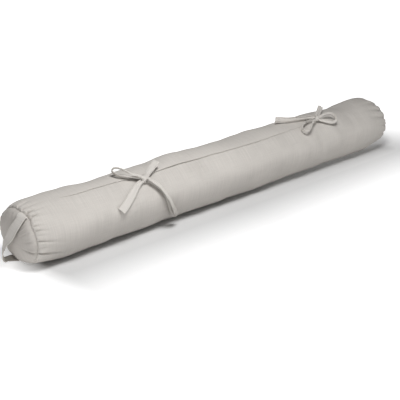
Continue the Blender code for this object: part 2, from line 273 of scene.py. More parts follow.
# Soft creases over the front, each through three places along and angles round the roll
CREASES = (
    Crease((-0.088, 57.0), (-0.113, 30.0), (-0.096, -24.0), 0.0050, 0.0016),
    Crease((-0.079, 55.0), (-0.102, 29.0), (-0.086, -20.0), 0.0045, -0.0015),
    Crease((-0.150, 48.0), (-0.146, 20.0), (-0.150, -12.0), 0.0040, -0.0008),
    Crease((-0.250, 50.0), (-0.262, 20.0), (-0.258, -14.0), 0.0070, -0.0014),
    Crease((-0.205, 44.0), (-0.180, 22.0), (-0.176, -20.0), 0.0060, -0.0012),
    Crease((-0.335, 52.0), (-0.345, 24.0), (-0.340, -10.0), 0.0080, -0.0009),
    Crease((0.030, 54.0), (0.020, 20.0), (0.036, -24.0), 0.0080, -0.0012),
    Crease((0.245, 55.0), (0.238, 24.0), (0.246, -16.0), 0.0080, -0.0015),
    Crease((0.275, 50.0), (0.292, 20.0), (0.286, -20.0), 0.0090, 0.0014),
    Crease((0.345, 66.0), (0.352, 30.0), (0.346, -12.0), 0.0100, -0.0016),
    Crease((0.150, 52.0), (0.156, 24.0), (0.150, -20.0), 0.0080, -0.0009),
)

# The filling's unevenness, in shares of the roll's lump
LUMPS = (
    Wave(0.55, 41.0, 2, 0.6),
    Wave(0.45, 67.0, -3, 2.1),
    Wave(0.40, 23.0, 4, 4.0),
    Wave(0.30, 109.0, 1, 1.2),
    Wave(0.22, 151.0, -2, 5.2),
)
# The end panels' slow sag, in shares of their own
SAGS = (
    Wave(0.50, 0.0, 3, 1.0),
    Wave(0.40, 0.0, 2, 4.0),
)

# The four tapes, each from its free end under or through the knot, round its loop and back
NEAR_KNOT_ALONG = -0.2350
FAR_KNOT_ALONG = 0.2495

NEAR_A = (
    TapeRow(-0.3110, 14.0, 0.0048, -50, 26, 0.0140),
    TapeRow(-0.2965, 21.5, 0.0042, -50, 24, 0.0140),
    TapeRow(-0.2815, 30.0, 0.0038, -50, 20, 0.0140),
    TapeRow(-0.2660, 39.5, 0.0036, -50, 14, 0.0130),
    TapeRow(-0.2525, 47.0, 0.0044, -50, 8, 0.0105),
    TapeRow(-0.2425, 50.5, 0.0062, -52, 2, 0.0085),
    TapeRow(NEAR_KNOT_ALONG, 52.5, 0.0078, 50, 0, 0.0080),
    TapeRow(-0.2405, 57.0, 0.0066, 43, -28, 0.0085),
    TapeRow(-0.2515, 61.0, 0.0064, 43, -44, 0.0095),
    TapeRow(-0.2620, 65.5, 0.0066, 45, -48, 0.0100),
    TapeRow(-0.2710, 71.0, 0.0072, 46, -48, 0.0105),
    TapeRow(-0.2780, 77.5, 0.0084, 50, -46, 0.0105),
    TapeRow(-0.2810, 83.5, 0.0110, 54, -42, 0.0105),
    TapeRow(-0.2810, 87.0, 0.0144, 54, -38, 0.0105),
    TapeRow(-0.2780, 86.5, 0.0176, 51, -36, 0.0105),
    TapeRow(-0.2730, 83.0, 0.0184, 44, -36, 0.0105),
    TapeRow(-0.2670, 77.0, 0.0168, 40, -36, 0.0105),
    TapeRow(-0.2610, 68.5, 0.0148, 37, -36, 0.0100),
    TapeRow(-0.2530, 62.0, 0.0130, 36, -32, 0.0095),
    TapeRow(-0.2450, 57.5, 0.0116, 35, -24, 0.0085),
    TapeRow(-0.2400, 54.5, 0.0108, 37, -15, 0.0080),
)
NEAR_B = (
    TapeRow(-0.1900, 74.0, 0.0164, -70, 6, 0.0140),
    TapeRow(-0.1990, 71.0, 0.0124, -74, 6, 0.0140),
    TapeRow(-0.2095, 66.5, 0.0090, -76, 6, 0.0135),
    TapeRow(-0.2190, 62.0, 0.0060, -78, 6, 0.0120),
    TapeRow(-0.2245, 58.5, 0.0040, -66, -4, 0.0095),
    TapeRow(-0.2290, 55.5, 0.0030, -45, -30, 0.0085),
    TapeRow(-0.2310, 52.5, 0.0028, -29, -60, 0.0080),
    TapeRow(-0.2250, 47.0, 0.0030, -27, -66, 0.0080),
    TapeRow(-0.2180, 39.5, 0.0034, -33, -68, 0.0085),
    TapeRow(-0.2120, 31.0, 0.0038, -31, -68, 0.0085),
    TapeRow(-0.2070, 23.0, 0.0040, -37, -66, 0.0085),
    TapeRow(-0.2035, 14.0, 0.0042, -45, -64, 0.0085),
    TapeRow(-0.1995, 4.5, 0.0044, -55, -58, 0.0085),
    TapeRow(-0.1945, -6.5, 0.0046, -63, -50, 0.0090),
    TapeRow(-0.1890, -18.0, 0.0052, -66, -39, 0.0095),
    TapeRow(-0.1830, -27.0, 0.0070, -66, -26, 0.0100),
    TapeRow(-0.1770, -31.0, 0.0094, -55, -16, 0.0105),
    TapeRow(-0.1765, -26.0, 0.0104, -40, -14, 0.0105),
    TapeRow(-0.1820, -18.0, 0.0106, -24, -17, 0.0105),
    TapeRow(-0.1885, -9.5, 0.0106, -15, -20, 0.0105),
    TapeRow(-0.1950, -0.5, 0.0102, -10, -22, 0.0105),
    TapeRow(-0.2000, 8.0, 0.0098, -5, -25, 0.0105),
    TapeRow(-0.2050, 16.0, 0.0096, 0, -26, 0.0105),
    TapeRow(-0.2085, 23.0, 0.0096, 4, -22, 0.0105),
    TapeRow(-0.2120, 30.5, 0.0096, 10, -16, 0.0105),
    TapeRow(-0.2170, 37.5, 0.0098, 18, -10, 0.0105),
    TapeRow(-0.2235, 44.0, 0.0102, 27, -8, 0.0098),
    TapeRow(-0.2295, 49.0, 0.0104, 33, -8, 0.0088),
    TapeRow(-0.2325, 53.0, 0.0098, 36, -11, 0.0080),
)
FAR_A = (
    TapeRow(0.1525, 88.0, 0.0120, 156, 75, 0.0135),
    TapeRow(0.1665, 85.5, 0.0094, 160, 80, 0.0135),
    TapeRow(0.1840, 82.0, 0.0084, 152, 82, 0.0130),
    TapeRow(0.2015, 78.0, 0.0076, 150, 81, 0.0125),
    TapeRow(0.2190, 73.0, 0.0074, 130, 78, 0.0120),
    TapeRow(0.2355, 69.0, 0.0078, 106, 72, 0.0105),
    TapeRow(FAR_KNOT_ALONG, 64.5, 0.0096, 80, 40, 0.0085),
    TapeRow(0.2560, 61.0, 0.0080, 50, 0, 0.0085),
    TapeRow(0.2625, 58.0, 0.0062, 46, -6, 0.0090),
    TapeRow(0.2700, 54.5, 0.0056, 47, -10, 0.0110),
    TapeRow(0.2795, 49.5, 0.0056, 48, -15, 0.0120),
    TapeRow(0.2885, 46.5, 0.0066, 47, -23, 0.0120),
    TapeRow(0.2960, 48.0, 0.0088, 37, -40, 0.0105),
    TapeRow(0.2980, 52.5, 0.0110, 24, -52, 0.0090),
    TapeRow(0.2955, 57.5, 0.0126, 13, -56, 0.0075),
    TapeRow(0.2890, 61.5, 0.0134, 14, -60, 0.0070),
    TapeRow(0.2780, 63.5, 0.0134, 19, -62, 0.0070),
    TapeRow(0.2660, 63.0, 0.0124, 19, -62, 0.0070),
    TapeRow(0.2560, 62.5, 0.0112, 25, -58, 0.0070),
)
FAR_B = (
    TapeRow(0.2965, 88.5, 0.0134, -18, -15, 0.0115),
    TapeRow(0.2885, 84.5, 0.0096, -22, -18, 0.0115),
    TapeRow(0.2780, 79.5, 0.0060, -30, -18, 0.0110),
    TapeRow(0.2670, 74.0, 0.0042, -31, -12, 0.0095),
    TapeRow(0.2560, 68.0, 0.0036, -14, -31, 0.0085),
    TapeRow(0.2425, 64.5, 0.0042, 10, -56, 0.0085),
    TapeRow(0.2275, 63.0, 0.0060, 21, -69, 0.0090),
    TapeRow(0.2130, 61.5, 0.0072, 24, -74, 0.0095),
    TapeRow(0.2000, 56.5, 0.0074, 7, -77, 0.0100),
    TapeRow(0.1945, 50.0, 0.0074, -20, -76, 0.0100),
    TapeRow(0.1975, 44.0, 0.0076, -40, -73, 0.0100),
    TapeRow(0.2065, 43.5, 0.0082, -41, -73, 0.0100),
    TapeRow(0.2160, 47.5, 0.0090, -26, -76, 0.0095),
    TapeRow(0.2225, 52.5, 0.0100, 1, -75, 0.0090),
    TapeRow(0.2320, 57.0, 0.0110, 17, -69, 0.0080),
    TapeRow(0.2410, 60.0, 0.0116, 25, -62, 0.0075),
)

# The hanging strap, from its upper end down over the near panel to its lower end
STRAP = (
    StrapRow(-0.4825, -0.0210, 0.0995, 0, 24),
    StrapRow(-0.4880, -0.0215, 0.1005, -2, 18),
    StrapRow(-0.4940, -0.0240, 0.0975, -5, 8),
    StrapRow(-0.5010, -0.0235, 0.0905, -8, 5),
    StrapRow(-0.5060, -0.0200, 0.0815, -9, 5),
    StrapRow(-0.5085, -0.0140, 0.0705, -3, 4),
    StrapRow(-0.5095, -0.0060, 0.0600, 4, 0),
    StrapRow(-0.5105, 0.0025, 0.0495, 13, -6),
    StrapRow(-0.5105, 0.0080, 0.0400, 20, -13),
    StrapRow(-0.5110, 0.0120, 0.0305, 26, -17),
    StrapRow(-0.5095, 0.0155, 0.0205, 35, -18),
    StrapRow(-0.5050, 0.0175, 0.0130, 40, -7),
    StrapRow(-0.4990, 0.0165, 0.0115, 35, 5),
    StrapRow(-0.4925, 0.0155, 0.0110, 20, 12),
    StrapRow(-0.4870, 0.0155, 0.0100, 8, 16),
    StrapRow(-0.4815, 0.0160, 0.0080, 0, 18),
)


def ease(share: np.ndarray) -> np.ndarray:
    """Ease shares from 0 to 1 with a level start and end."""
    share = np.clip(share, 0.0, 1.0)
    return share * share * (3.0 - 2.0 * share)


def read_along(rows: Sequence[NamedTuple], along: np.ndarray, column: str) -> np.ndarray:
    """Read a column of a table at places along the roll, on a smooth curve through its rows.

    Args:
        rows: the table, in order along the roll.
        along: the places to read it at.
        column: the name of the column.

    Returns:
        The column's values at those places, level beyond the first and last row.
    """
    along = np.asarray(along, float)
    places = np.array([row.along for row in rows])
    values = np.array([getattr(row, column) for row in rows])
    slopes = np.zeros(len(rows))
    slopes[1:-1] = (values[2:] - values[:-2]) / (places[2:] - places[:-2])
    low = np.clip(np.searchsorted(places, along, side="right") - 1, 0, len(rows) - 2)
    span = places[low + 1] - places[low]
    share = np.clip((along - places[low]) / span, 0.0, 1.0)
    lead = share * (1.0 - share) ** 2 * span * slopes[low]
    trail = share * share * (share - 1.0) * span * slopes[low + 1]
    return values[low] + (values[low + 1] - values[low]) * ease(share) + lead + trail


def round_difference(angle: np.ndarray, other: float) -> np.ndarray:
    """Difference of two angles in degrees, from -180 to 180."""
    return (angle - other + 180.0) % 360.0 - 180.0


def smooth_path(points: np.ndarray, steps: int) -> np.ndarray:
    """Run a smooth curve through the rows of an array.

    Args:
        points: one row of numbers for each place on the path.
        steps: how many new rows stand for each stretch between two places.

    Returns:
        The rows of the smoothed path, the first and last place included.
    """
    last = len(points) - 1
    rows = []
    for place in range(last):
        before, low = points[max(place - 1, 0)], points[place]
        high, after = points[place + 1], points[min(place + 2, last)]
        for step in range(steps):
            share = step / steps
            rows.append(0.5 * (2 * low + (high - before) * share
                               + (2 * before - 5 * low + 4 * high - after) * share ** 2
                               + (3 * low - before - 3 * high + after) * share ** 3))
    rows.append(points[last])
    return np.array(rows)


def unit(rows: np.ndarray) -> np.ndarray:
    """Scale each row to a length of one."""
    return rows / np.maximum(np.linalg.norm(rows, axis=-1, keepdims=True), 1e-12)


def hill(off: np.ndarray, width: float, power: float = 2.0) -> np.ndarray:
    """A smooth hill of height one that fades over a width on both sides."""
    return np.exp(-np.abs(off / width) ** power)


def unevenness(waves: Sequence[Wave], along: Union[float, np.ndarray],
               angle: np.ndarray) -> np.ndarray:
    """Sum of slow waves at places along and angles round the roll."""
    turn = np.radians(angle)
    return sum(wave.share * np.sin(wave.along * along + wave.around * turn + wave.start)
               for wave in waves)


def read_points(marks: np.ndarray, run: np.ndarray, points: np.ndarray) -> np.ndarray:
    """Read the points of a path between its places, at marks along its length."""
    return np.stack([np.interp(marks, run, points[:, axis]) for axis in range(3)], axis=1)


def set_down(name: str, data: bpy.types.ID) -> bpy.types.Object:
    """Make an object of a mesh, camera or light and add it to the scene."""
    thing = bpy.data.objects.new(name, data)
    bpy.context.scene.collection.objects.link(thing)
    return thing


Number = Union[float, "Wire"]


class Wire:
    """A shader socket that reads like a number in Python's own sums."""

    def __init__(self, shade: "Shade", socket: bpy.types.NodeSocket) -> None:
        """Wrap a socket of a shade's node tree."""
        self.shade = shade
        self.socket = socket

    def join(self, operation: str, first: Number, second: Number) -> "Wire":
        """Add a Math node that joins two numbers."""
        settings = {"operation": operation}
        return self.shade.node("ShaderNodeMath", settings, {0: first, 1: second})

    def __add__(self, other: Number) -> "Wire":
        """This plus the other."""
        return self.join("ADD", self, other)

    def __radd__(self, other: Number) -> "Wire":
        """The other plus this."""
        return self.join("ADD", other, self)

    def __sub__(self, other: Number) -> "Wire":
        """This less the other."""
        return self.join("SUBTRACT", self, other)

    def __rsub__(self, other: Number) -> "Wire":
        """The other less this."""
        return self.join("SUBTRACT", other, self)

    def __mul__(self, other: Number) -> "Wire":
        """This times the other."""
        return self.join("MULTIPLY", self, other)

    def __rmul__(self, other: Number) -> "Wire":
        """The other times this."""
        return self.join("MULTIPLY", other, self)

    def beside(self, output: Union[int, str]) -> "Wire":
        """Another output of this one's node."""
        return Wire(self.shade, self.shade.find(self.socket.node.outputs, output))

    def sine(self) -> "Wire":
        """The sine of this, in radians."""
        return self.shade.node("ShaderNodeMath", {"operation": "SINE"}, {0: self})

    def root(self) -> "Wire":
        """The square root of this."""
        return self.shade.node("ShaderNodeMath", {"operation": "SQRT"}, {0: self})

    def at_least(self, low: Number) -> "Wire":
        """This, or the low value where that is greater."""
        return self.join("MAXIMUM", self, low)

    def at_most(self, high: Number) -> "Wire":
        """This, or the high value where that is smaller."""
        return self.join("MINIMUM", self, high)


class Shade:
    """A material's node tree, built one node at a time."""

    def __init__(self, name: str) -> None:
        """Start a material with a Principled shader."""
        self.material = bpy.data.materials.new(name)
        self.material.use_nodes = True
        self.tree = self.material.node_tree
        self.shader = self.tree.nodes["Principled BSDF"]

    def node(self, kind: str, settings: dict, values: dict, output: Union[int, str] = 0) -> Wire:
        """Add any node.

        Args:
            kind: the node's type.
            settings: its own settings, made before its sockets are filled.
            values: a value or a Wire for each input socket, by index, name or identifier.
            output: the output that is wanted, by index, name or identifier.

        Returns:
            The wanted output.
        """
        node = self.tree.nodes.new(kind)
        for name, value in settings.items():
            setattr(node, name, value)
        for key, value in values.items():
            self.plug(self.find(node.inputs, key), value)
        return Wire(self, self.find(node.outputs, output))

    def plug(self, socket: bpy.types.NodeSocket, value: Union[Number, tuple]) -> None:
        """Link a Wire to a socket, or set the socket's own value."""
        if isinstance(value, Wire):
            self.tree.links.new(value.socket, socket)
        else:
            socket.default_value = value

    @staticmethod
    def find(sockets: Iterable[bpy.types.NodeSocket], key: Union[int, str]) -> bpy.types.NodeSocket:
        """The socket with that index, identifier or name."""
        if isinstance(key, int):
            return list(sockets)[key]
        for socket in sockets:
            if key in (socket.identifier, socket.name):
                return socket
        raise KeyError(key)

    def blend(self, share: Number, low: Union[Wire, tuple], high: Union[Wire, tuple]) -> Wire:
        """Mix two colours."""
        values = {"Factor_Float": share, "A_Color": low, "B_Color": high}
        settings = {"data_type": "RGBA", "clamp_factor": True}
        return self.node("ShaderNodeMix", settings, values, "Result_Color")

    def noise(self, place: Wire, stretch: tuple, detail: float) -> Wire:
        """Noise on stretched coordinates, about 0 to 1."""
        spread = self.node("ShaderNodeVectorMath", {"operation": "MULTIPLY"}, {0: place, 1: stretch})
        values = {"Vector": spread, "Scale": 1.0, "Detail": detail}
        return self.node("ShaderNodeTexNoise", {"noise_dimensions": "3D"}, values)


@dataclass(frozen=True)
class Linen:
    """Plain woven linen-look cloth: threads, slubs and a slight cloudiness.

    Its pattern follows the piece's own UV map, which holds true lengths in metres. Slubs, clouds
    and grains are given in patches to the metre, along and across. A share says how far a pattern
    moves the colour, and a lift how far it moves the surface, in parts of the weave's height.
    """

    name: str
    tint: tuple[float, float, float]
    thread: float = 0.0011
    warp_slubs: tuple[float, float, float] = (28.0, 900.0, 1.0)
    weft_slubs: tuple[float, float, float] = (620.0, 18.0, 1.0)
    warp_part: float = 0.8
    weft_part: float = 1.2
    clouds: tuple[float, float, float] = (14.0, 20.0, 1.0)
    grains: tuple[float, float, float] = (900.0, 900.0, 1.0)
    slub_share: float = 0.20
    cloud_share: float = 0.16
    thread_share: float = 0.02
    grain_share: float = 0.06
    contrast: float = 1.8
    dark: float = 0.72
    bright: float = 1.28
    weave_height: float = 0.00035
    weave_strength: float = 0.55
    thread_lift: float = 0.5
    slub_lift: float = 1.1
    grain_lift: float = 0.6
    roughness: float = 0.88
    slub_roughness: float = 0.10
    specular: float = 0.1

    def material(self) -> bpy.types.Material:
        """Build the cloth's material."""
        shade = Shade(self.name)
        place = shade.node("ShaderNodeUVMap", {"uv_map": UV_NAME}, {})
        along = shade.node("ShaderNodeSeparateXYZ", {}, {0: place})
        across = along.beside("Y")
        turns = 2 * math.pi / self.thread
        threads = (along * turns).sine() * (across * turns).sine()
        warp = shade.noise(place, self.warp_slubs, 2.0) - MIDDLE
        weft = shade.noise(place, self.weft_slubs, 2.0) - MIDDLE
        cloud = shade.noise(place, self.clouds, 3.0) - MIDDLE
        grain = shade.noise(place, self.grains, 1.0) - MIDDLE
        slubs = warp * self.warp_part + weft * self.weft_part
        light = (slubs * self.slub_share + cloud * self.cloud_share
                 + threads * self.thread_share + grain * self.grain_share)
        deep = tuple(channel * self.dark for channel in self.tint) + (1.0,)
        pale = tuple(min(channel * self.bright, 1.0) for channel in self.tint) + (1.0,)
        colour = shade.blend(light * self.contrast + MIDDLE, deep, pale)
        height = threads * self.thread_lift + slubs * self.slub_lift + grain * self.grain_lift
        values = {"Strength": self.weave_strength, "Distance": self.weave_height, "Height": height}
        shade.plug(shade.shader.inputs["Base Color"], colour)
        shade.plug(shade.shader.inputs["Normal"], shade.node("ShaderNodeBump", {}, values))
        shade.plug(shade.shader.inputs["Roughness"], slubs * self.slub_roughness + self.roughness)
        shade.plug(shade.shader.inputs["Specular IOR Level"], self.specular)
        return shade.material


@dataclass(frozen=True)
class Thread:
    """Sewing thread: one colour with a soft twist."""

    name: str
    tint: tuple[float, float, float]
    twist: float = 0.0006
    dark: float = 0.8
    roughness: float = 0.7

    def material(self) -> bpy.types.Material:
        """Build the thread's material."""
        shade = Shade(self.name)
        place = shade.node("ShaderNodeTexCoord", {}, {}, "Object")
        spun = shade.noise(place, (1 / self.twist,) * 3, 1.0)
        deep = tuple(channel * self.dark for channel in self.tint) + (1.0,)
        colour = shade.blend(spun, deep, self.tint + (1.0,))
        shade.plug(shade.shader.inputs["Base Color"], colour)
        shade.plug(shade.shader.inputs["Roughness"], self.roughness)
        return shade.material


@dataclass(frozen=True)
class StudioFloor:
    """A floor that paints the light and shade round the roll with its own glow.

    Its grey base glows white away from the roll's foot, painted light in place of the light a real
    floor gets, and the band by the roll's front that doesn't glow is a painted shadow. The distance
    is taken from a line under the roll's front, between its near and far stop. The glow rises with
    it past the painted shadow's reach, and a little more towards the far end.
    """

    name: str = "studio_floor_painted_glow_and_shadow"
    # A grey base that only the glow turns white: where the floor doesn't glow it shows a painted
    # shadow
    tint: tuple[float, float, float] = (0.68, 0.68, 0.68)
    roughness: float = 0.8
    front: float = 0.036
    near_stop: float = -0.43
    near_steep: float = 3.0
    far_stop: float = 0.48
    painted_shadow_reach: float = 0.04
    glow_rise: float = 4.4
    glow_most: float = 0.42
    glow_far: float = 1.30
    far_painted_light: float = 0.48
    far_painted_light_most: float = 0.25
    clear_rise: float = 30.0

    def material(self) -> bpy.types.Material:
        """Build the floor's material."""
        shade = Shade(self.name)
        place = shade.node("ShaderNodeTexCoord", {}, {}, "Object")
        along = shade.node("ShaderNodeSeparateXYZ", {}, {0: place})
        across = along.beside("Y") + self.front
        short = (self.near_stop - along) * self.near_steep
        beyond = (along - self.far_stop).at_least(short).at_least(0.0)
        away = (beyond * beyond + across * across).root()
        # Painted light: the floor glows once past the painted shadow's reach
        glow = ((away - self.painted_shadow_reach) * self.glow_rise).at_least(0.0)
        glow = glow.at_most(away * self.glow_far + self.glow_most)
        clear = (away * self.clear_rise).at_most(1.0)
        # More painted light towards the far end, kept off the roll's foot, lightens the painted
        # shade there
        glow = glow + (along * self.far_painted_light).at_least(0.0).at_most(self.far_painted_light_most) * clear
        colour = shade.blend(glow, (0.0, 0.0, 0.0, 1.0), (1.0, 1.0, 1.0, 1.0))
        shade.plug(shade.shader.inputs["Emission Color"], colour)
        shade.plug(shade.shader.inputs["Emission Strength"], 1.0)
        shade.plug(shade.shader.inputs["Base Color"], self.tint + (1.0,))
        shade.plug(shade.shader.inputs["Roughness"], self.roughness)
        shade.plug(shade.shader.inputs["Specular IOR Level"], 0.0)
        return shade.material


class Grid(NamedTuple):
    """Points of a surface in rows, with a length in metres along and across each of them."""

    points: np.ndarray
    along: np.ndarray
    across: np.ndarray


def closed_tube(name: str, grid: Grid, wrap: float, first: np.ndarray,
                last: np.ndarray) -> bpy.types.Object:
    """Make a closed mesh from rings of points and two end points, with its own UV map.

    Args:
        name: the object's name.
        grid: rings of points, with the UV map's two lengths at each point.
        wrap: the width in the UV map of the step that closes each ring.
        first: the point that closes the tube before its first ring.
        last: the point that closes it after its last ring.

    Returns:
        The new object, smooth and facing outwards.
    """
    rings, count = grid.points.shape[:2]
    index = np.arange(rings * count).reshape(rings, count)
    after = np.roll(index, -1, axis=1)
    quads = np.stack([index[:-1], after[:-1], after[1:], index[1:]], axis=-1).reshape(-1, 4)
    start, finish = rings * count, rings * count + 1
    caps = [(start, after[0, place], index[0, place]) for place in range(count)]
    caps += [(finish, index[-1, place], after[-1, place]) for place in range(count)]
    vertices = np.concatenate([grid.points.reshape(-1, 3), [first, last]])
    mesh = bpy.data.meshes.new(name)
    mesh.from_pydata(vertices.tolist(), [], quads.tolist() + [tuple(map(int, c)) for c in caps])
    next_across = np.concatenate([grid.across[:, 1:], grid.across[:, -1:] + wrap], axis=1)
    here = np.stack([grid.along, grid.across], axis=-1)
    there = np.stack([np.roll(grid.along, -1, axis=1), next_across], axis=-1)
    corners = np.stack([here[:-1], there[:-1], there[1:], here[1:]], axis=2).reshape(-1, 2)
    capped = []
    for ring in (0, -1):
        for place in range(count):
            edge, lay = grid.along[ring, place], grid.across[ring, place]
            sides = [(edge, lay), (edge, next_across[ring, place])]
            capped += [(edge + CAP_DEPTH, lay)] + (sides[::-1] if ring == 0 else sides)
    layer = mesh.uv_layers.new(name=UV_NAME)
    layer.data.foreach_set("uv", np.concatenate([corners, capped]).astype(np.float32).ravel())
    mesh.validate(clean_customdata=False)
    mesh.shade_smooth()
    part = set_down(name, mesh)
    face_outwards(part)
    return part


def face_outwards(part: bpy.types.Object) -> None:
    """Turn every face of a closed mesh outwards if its volume comes out negative.

    Args:
        part: the object whose mesh is looked at.
    """
    mesh = part.data
    mesh.calc_loop_triangles()
    points = np.zeros(len(mesh.vertices) * 3)
    mesh.vertices.foreach_get("co", points)
    points = points.reshape(-1, 3)
    corners = np.zeros(len(mesh.loop_triangles) * 3, np.int32)
    mesh.loop_triangles.foreach_get("vertices", corners)
    a, b, c = (points[corners.reshape(-1, 3)[:, corner]] for corner in range(3))
    if np.einsum("ij,ij->i", a, np.cross(b, c)).sum() < 0:
        mesh.flip_normals()


def dress(part: bpy.types.Object, finish: Union[Linen, Thread, StudioFloor]) -> None:
    """Give a piece one finish."""
    part.data.materials.append(finish.material())


@dataclass
class Roll:
    """The rolled and filled cloth, gathered at both ends, with its flap along the top front."""

    length: float = 1.000
    radius: float = 0.0592
    axis_share: float = 0.93
    end_rise: float = 0.35
    finish: Linen = Linen("linen_greige", (0.570, 0.541, 0.507))

    # The mesh: points round each ring, and rings that stand closer beside the end seams
    facets_round: int = 400
    ring_step: float = 0.0050
    seam_step: float = 0.0012
    seam_step_reach: float = 0.04

    # The filled ends under the panels, and the slot's width in the UV map
    inset: float = 0.0023
    dome_gap: float = 0.0004
    dome_shares: tuple[float, ...] = (1.0, 0.97, 0.9, 0.75, 0.5, 0.25)
    dome_slot_deg: tuple[float, float] = (-1.8, -0.3)
    slot_wrap: float = 0.001

    # The flap: the tuck under it, its rounded hem, and how far round its lift dies away
    tuck_deg: float = 4.0
    spread_deg: float = 75.0
    hem_round: float = 0.0006
    hem_curve: tuple[tuple[float, float], ...] = ((0.2, 0.0), (1.0, 0.3), (0.9, 0.75))
    full_lift: float = 0.0015

    # The end seams' grooves, deepest over the top
    groove: float = 0.0007
    groove_width: float = 0.0013
    groove_side: float = 0.2
    groove_deg: float = 78.0
    groove_wide: float = 34.0

    # The gathers that aren't listed: least and most of each size
    gathers_round: int = 26
    gather_clear: float = 9.0
    gather_shift: tuple[float, float] = (-3.5, 3.5)
    gather_depth: tuple[float, float] = (0.0018, 0.0038)
    gather_width: tuple[float, float] = (2.4, 3.6)
    gather_reach: tuple[float, float] = (0.014, 0.032)
    gather_drift: tuple[float, float] = (-8.0, 8.0)
    seed: int = 7

    # All gathers: how they drift, fade and widen away from the seam, and the banks beside them
    drift_over: float = 0.03
    gather_fade: float = 1.5
    seam_share: float = 0.12
    seam_fade: float = 0.004
    width_first: float = 0.75
    width_gain: float = 0.6
    bank: float = 0.30
    bank_wide: float = 2.8

    # The filling's form: the places of its top, underside and fuller front, and its lumps
    top_deg: float = 104.0
    under_deg: float = -75.0
    form_deg: float = 34.0
    front_deg: float = 14.0
    front_wide: float = 20.0
    front_bulge: float = 0.0042
    front_even: float = 0.85
    front_pace: float = 17.0
    front_start: float = 1.0
    front_end: float = 0.47
    front_fade: float = 0.08
    lump: float = 0.0009
    quiet_reach: float = 0.03

    # The creases: places on each, how far they are felt, and their faded tips
    crease_steps: int = 8
    crease_margin: float = 0.04
    crease_round: float = 0.9
    crease_tip: float = 0.05

    # The lean of the ends, and the strap's pull on the near seam
    lean_reach: float = 0.09
    lean_height: float = 0.052
    pull: float = 0.0045
    pull_deg: float = 57.0
    pull_wide: float = 11.0
    pull_reach: float = 0.02

    origin: np.ndarray = field(init=False)
    pleats: dict[End, list[Pleat]] = field(init=False)

    def __post_init__(self) -> None:
        """Take the roll's place from the frame and lay out its gathers."""
        low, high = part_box("end_panel_near")
        self.origin = np.array([low.x + self.length / 2, (low.y + high.y) / 2, 0.0])
        draw = np.random.default_rng(self.seed)
        self.pleats = {NEAR: self.gathers(NEAR_PLEATS, draw), FAR: self.gathers(FAR_PLEATS, draw)}

    def gathers(self, shown: Sequence[Pleat], draw: np.random.Generator) -> list[Pleat]:
        """Fill the rest of an end seam with gathers like those that are listed.

        Args:
            shown: the gathers that are listed.
            draw: the source of the others' unevenness.

        Returns:
            All the gathers of that end.
        """
        pleats = list(shown)
        for place in range(self.gathers_round):
            angle = 360.0 * place / self.gathers_round + draw.uniform(*self.gather_shift)
            depth, width = draw.uniform(*self.gather_depth), draw.uniform(*self.gather_width)
            reach, drift = draw.uniform(*self.gather_reach), draw.uniform(*self.gather_drift)
            away = min(abs(float(round_difference(np.array(angle), old.angle))) for old in shown)
            if away > self.gather_clear:
                pleats.append(Pleat(angle, depth, width, reach, drift))
        return pleats

    def seam_at(self, end: End) -> float:
        """Place along the roll of an end's seam."""
        return end.side.value * (self.length / 2 - end.bulge)

    def drawn_in(self, end: End, along: np.ndarray) -> np.ndarray:
        """Share of the full girth that an end's rounded shoulder leaves."""
        beyond = end.side.value * (along - self.seam_at(end)) > 0
        share = np.clip(np.abs(self.seam_at(end) - along) / end.shoulder, 0.0, 1.0)
        share = np.where(beyond, 0.0, share)
        seam_share = end.seam_radius / read_along(GIRTHS, self.seam_at(end), "radius")
        return seam_share + (1.0 - seam_share) * np.sqrt(1.0 - (1.0 - share) ** 2)

    def radius_at(self, along: np.ndarray) -> np.ndarray:
        """Radius of the roll at a place along it, shoulders included."""
        full = read_along(GIRTHS, along, "radius")
        return full * self.drawn_in(NEAR, along) * self.drawn_in(FAR, along)

    def centre_at(self, radius: np.ndarray) -> np.ndarray:
        """Height of a section's centre: the narrow ends rise a little off the floor."""
        return self.axis_share * self.radius - self.end_rise * np.maximum(self.radius - radius, 0.0)

    def gathered(self, along: np.ndarray, angle: np.ndarray) -> np.ndarray:
        """Rise and fall of the gathers beside both end seams, and the seams' own grooves.

        Args:
            along: places along the roll.
            angle: angles round it, in degrees.

        Returns:
            How far the cloth stands out at each of them.
        """
        rise = np.zeros(np.broadcast(along, angle).shape)
        for end, pleats in self.pleats.items():
            away = np.abs(along - self.seam_at(end))
            start = self.seam_share + (1.0 - self.seam_share) * ease(away / self.seam_fade)
            for pleat in pleats:
                drift = pleat.drift_deg * away / self.drift_over
                off = round_difference(angle - drift, pleat.angle)
                fade = hill(away, pleat.reach, self.gather_fade) * start
                width = pleat.width_deg * (self.width_first + self.width_gain * away / pleat.reach)
                bank = self.bank * hill(off, self.bank_wide * pleat.width_deg)
                rise -= pleat.depth * fade * (hill(off, width, self.gather_fade) - bank)
            over = hill(round_difference(angle, self.groove_deg), self.groove_wide, 4.0)
            deep = self.groove_side + (1.0 - self.groove_side) * over
            rise -= self.groove * deep * hill(away, self.groove_width)
        return rise

    def creased(self, along: np.ndarray, angle: np.ndarray) -> np.ndarray:
        """Rise and fall of the soft creases placed over the cloth.

        Args:
            along: places along the roll.
            angle: angles round it, in degrees.

        Returns:
            How far the cloth stands out at each of them.
        """
        along, angle = np.broadcast_arrays(along, angle)
        rise = np.zeros(along.shape)
        for crease in CREASES:
            three = np.array([crease.start, crease.middle, crease.finish])
            marks = smooth_path(three, self.crease_steps)
            close = along > marks[:, 0].min() - self.crease_margin
            close &= along < marks[:, 0].max() + self.crease_margin
            near_along, near_angle = along[close], angle[close]
            best = np.full(near_along.shape, np.inf)
            where = np.zeros(near_along.shape)
            for place, (mark_along, mark_angle) in enumerate(marks):
                arc = np.radians(round_difference(near_angle, mark_angle)) * self.radius
                off = np.hypot(near_along - mark_along, arc * self.crease_round)
                where = np.where(off < best, place / (len(marks) - 1), where)
                best = np.minimum(best, off)
            taper = np.sin(np.pi * (where * (1.0 - 2 * self.crease_tip) + self.crease_tip))
            rise[close] += crease.height * taper * hill(best, crease.width)
        return rise

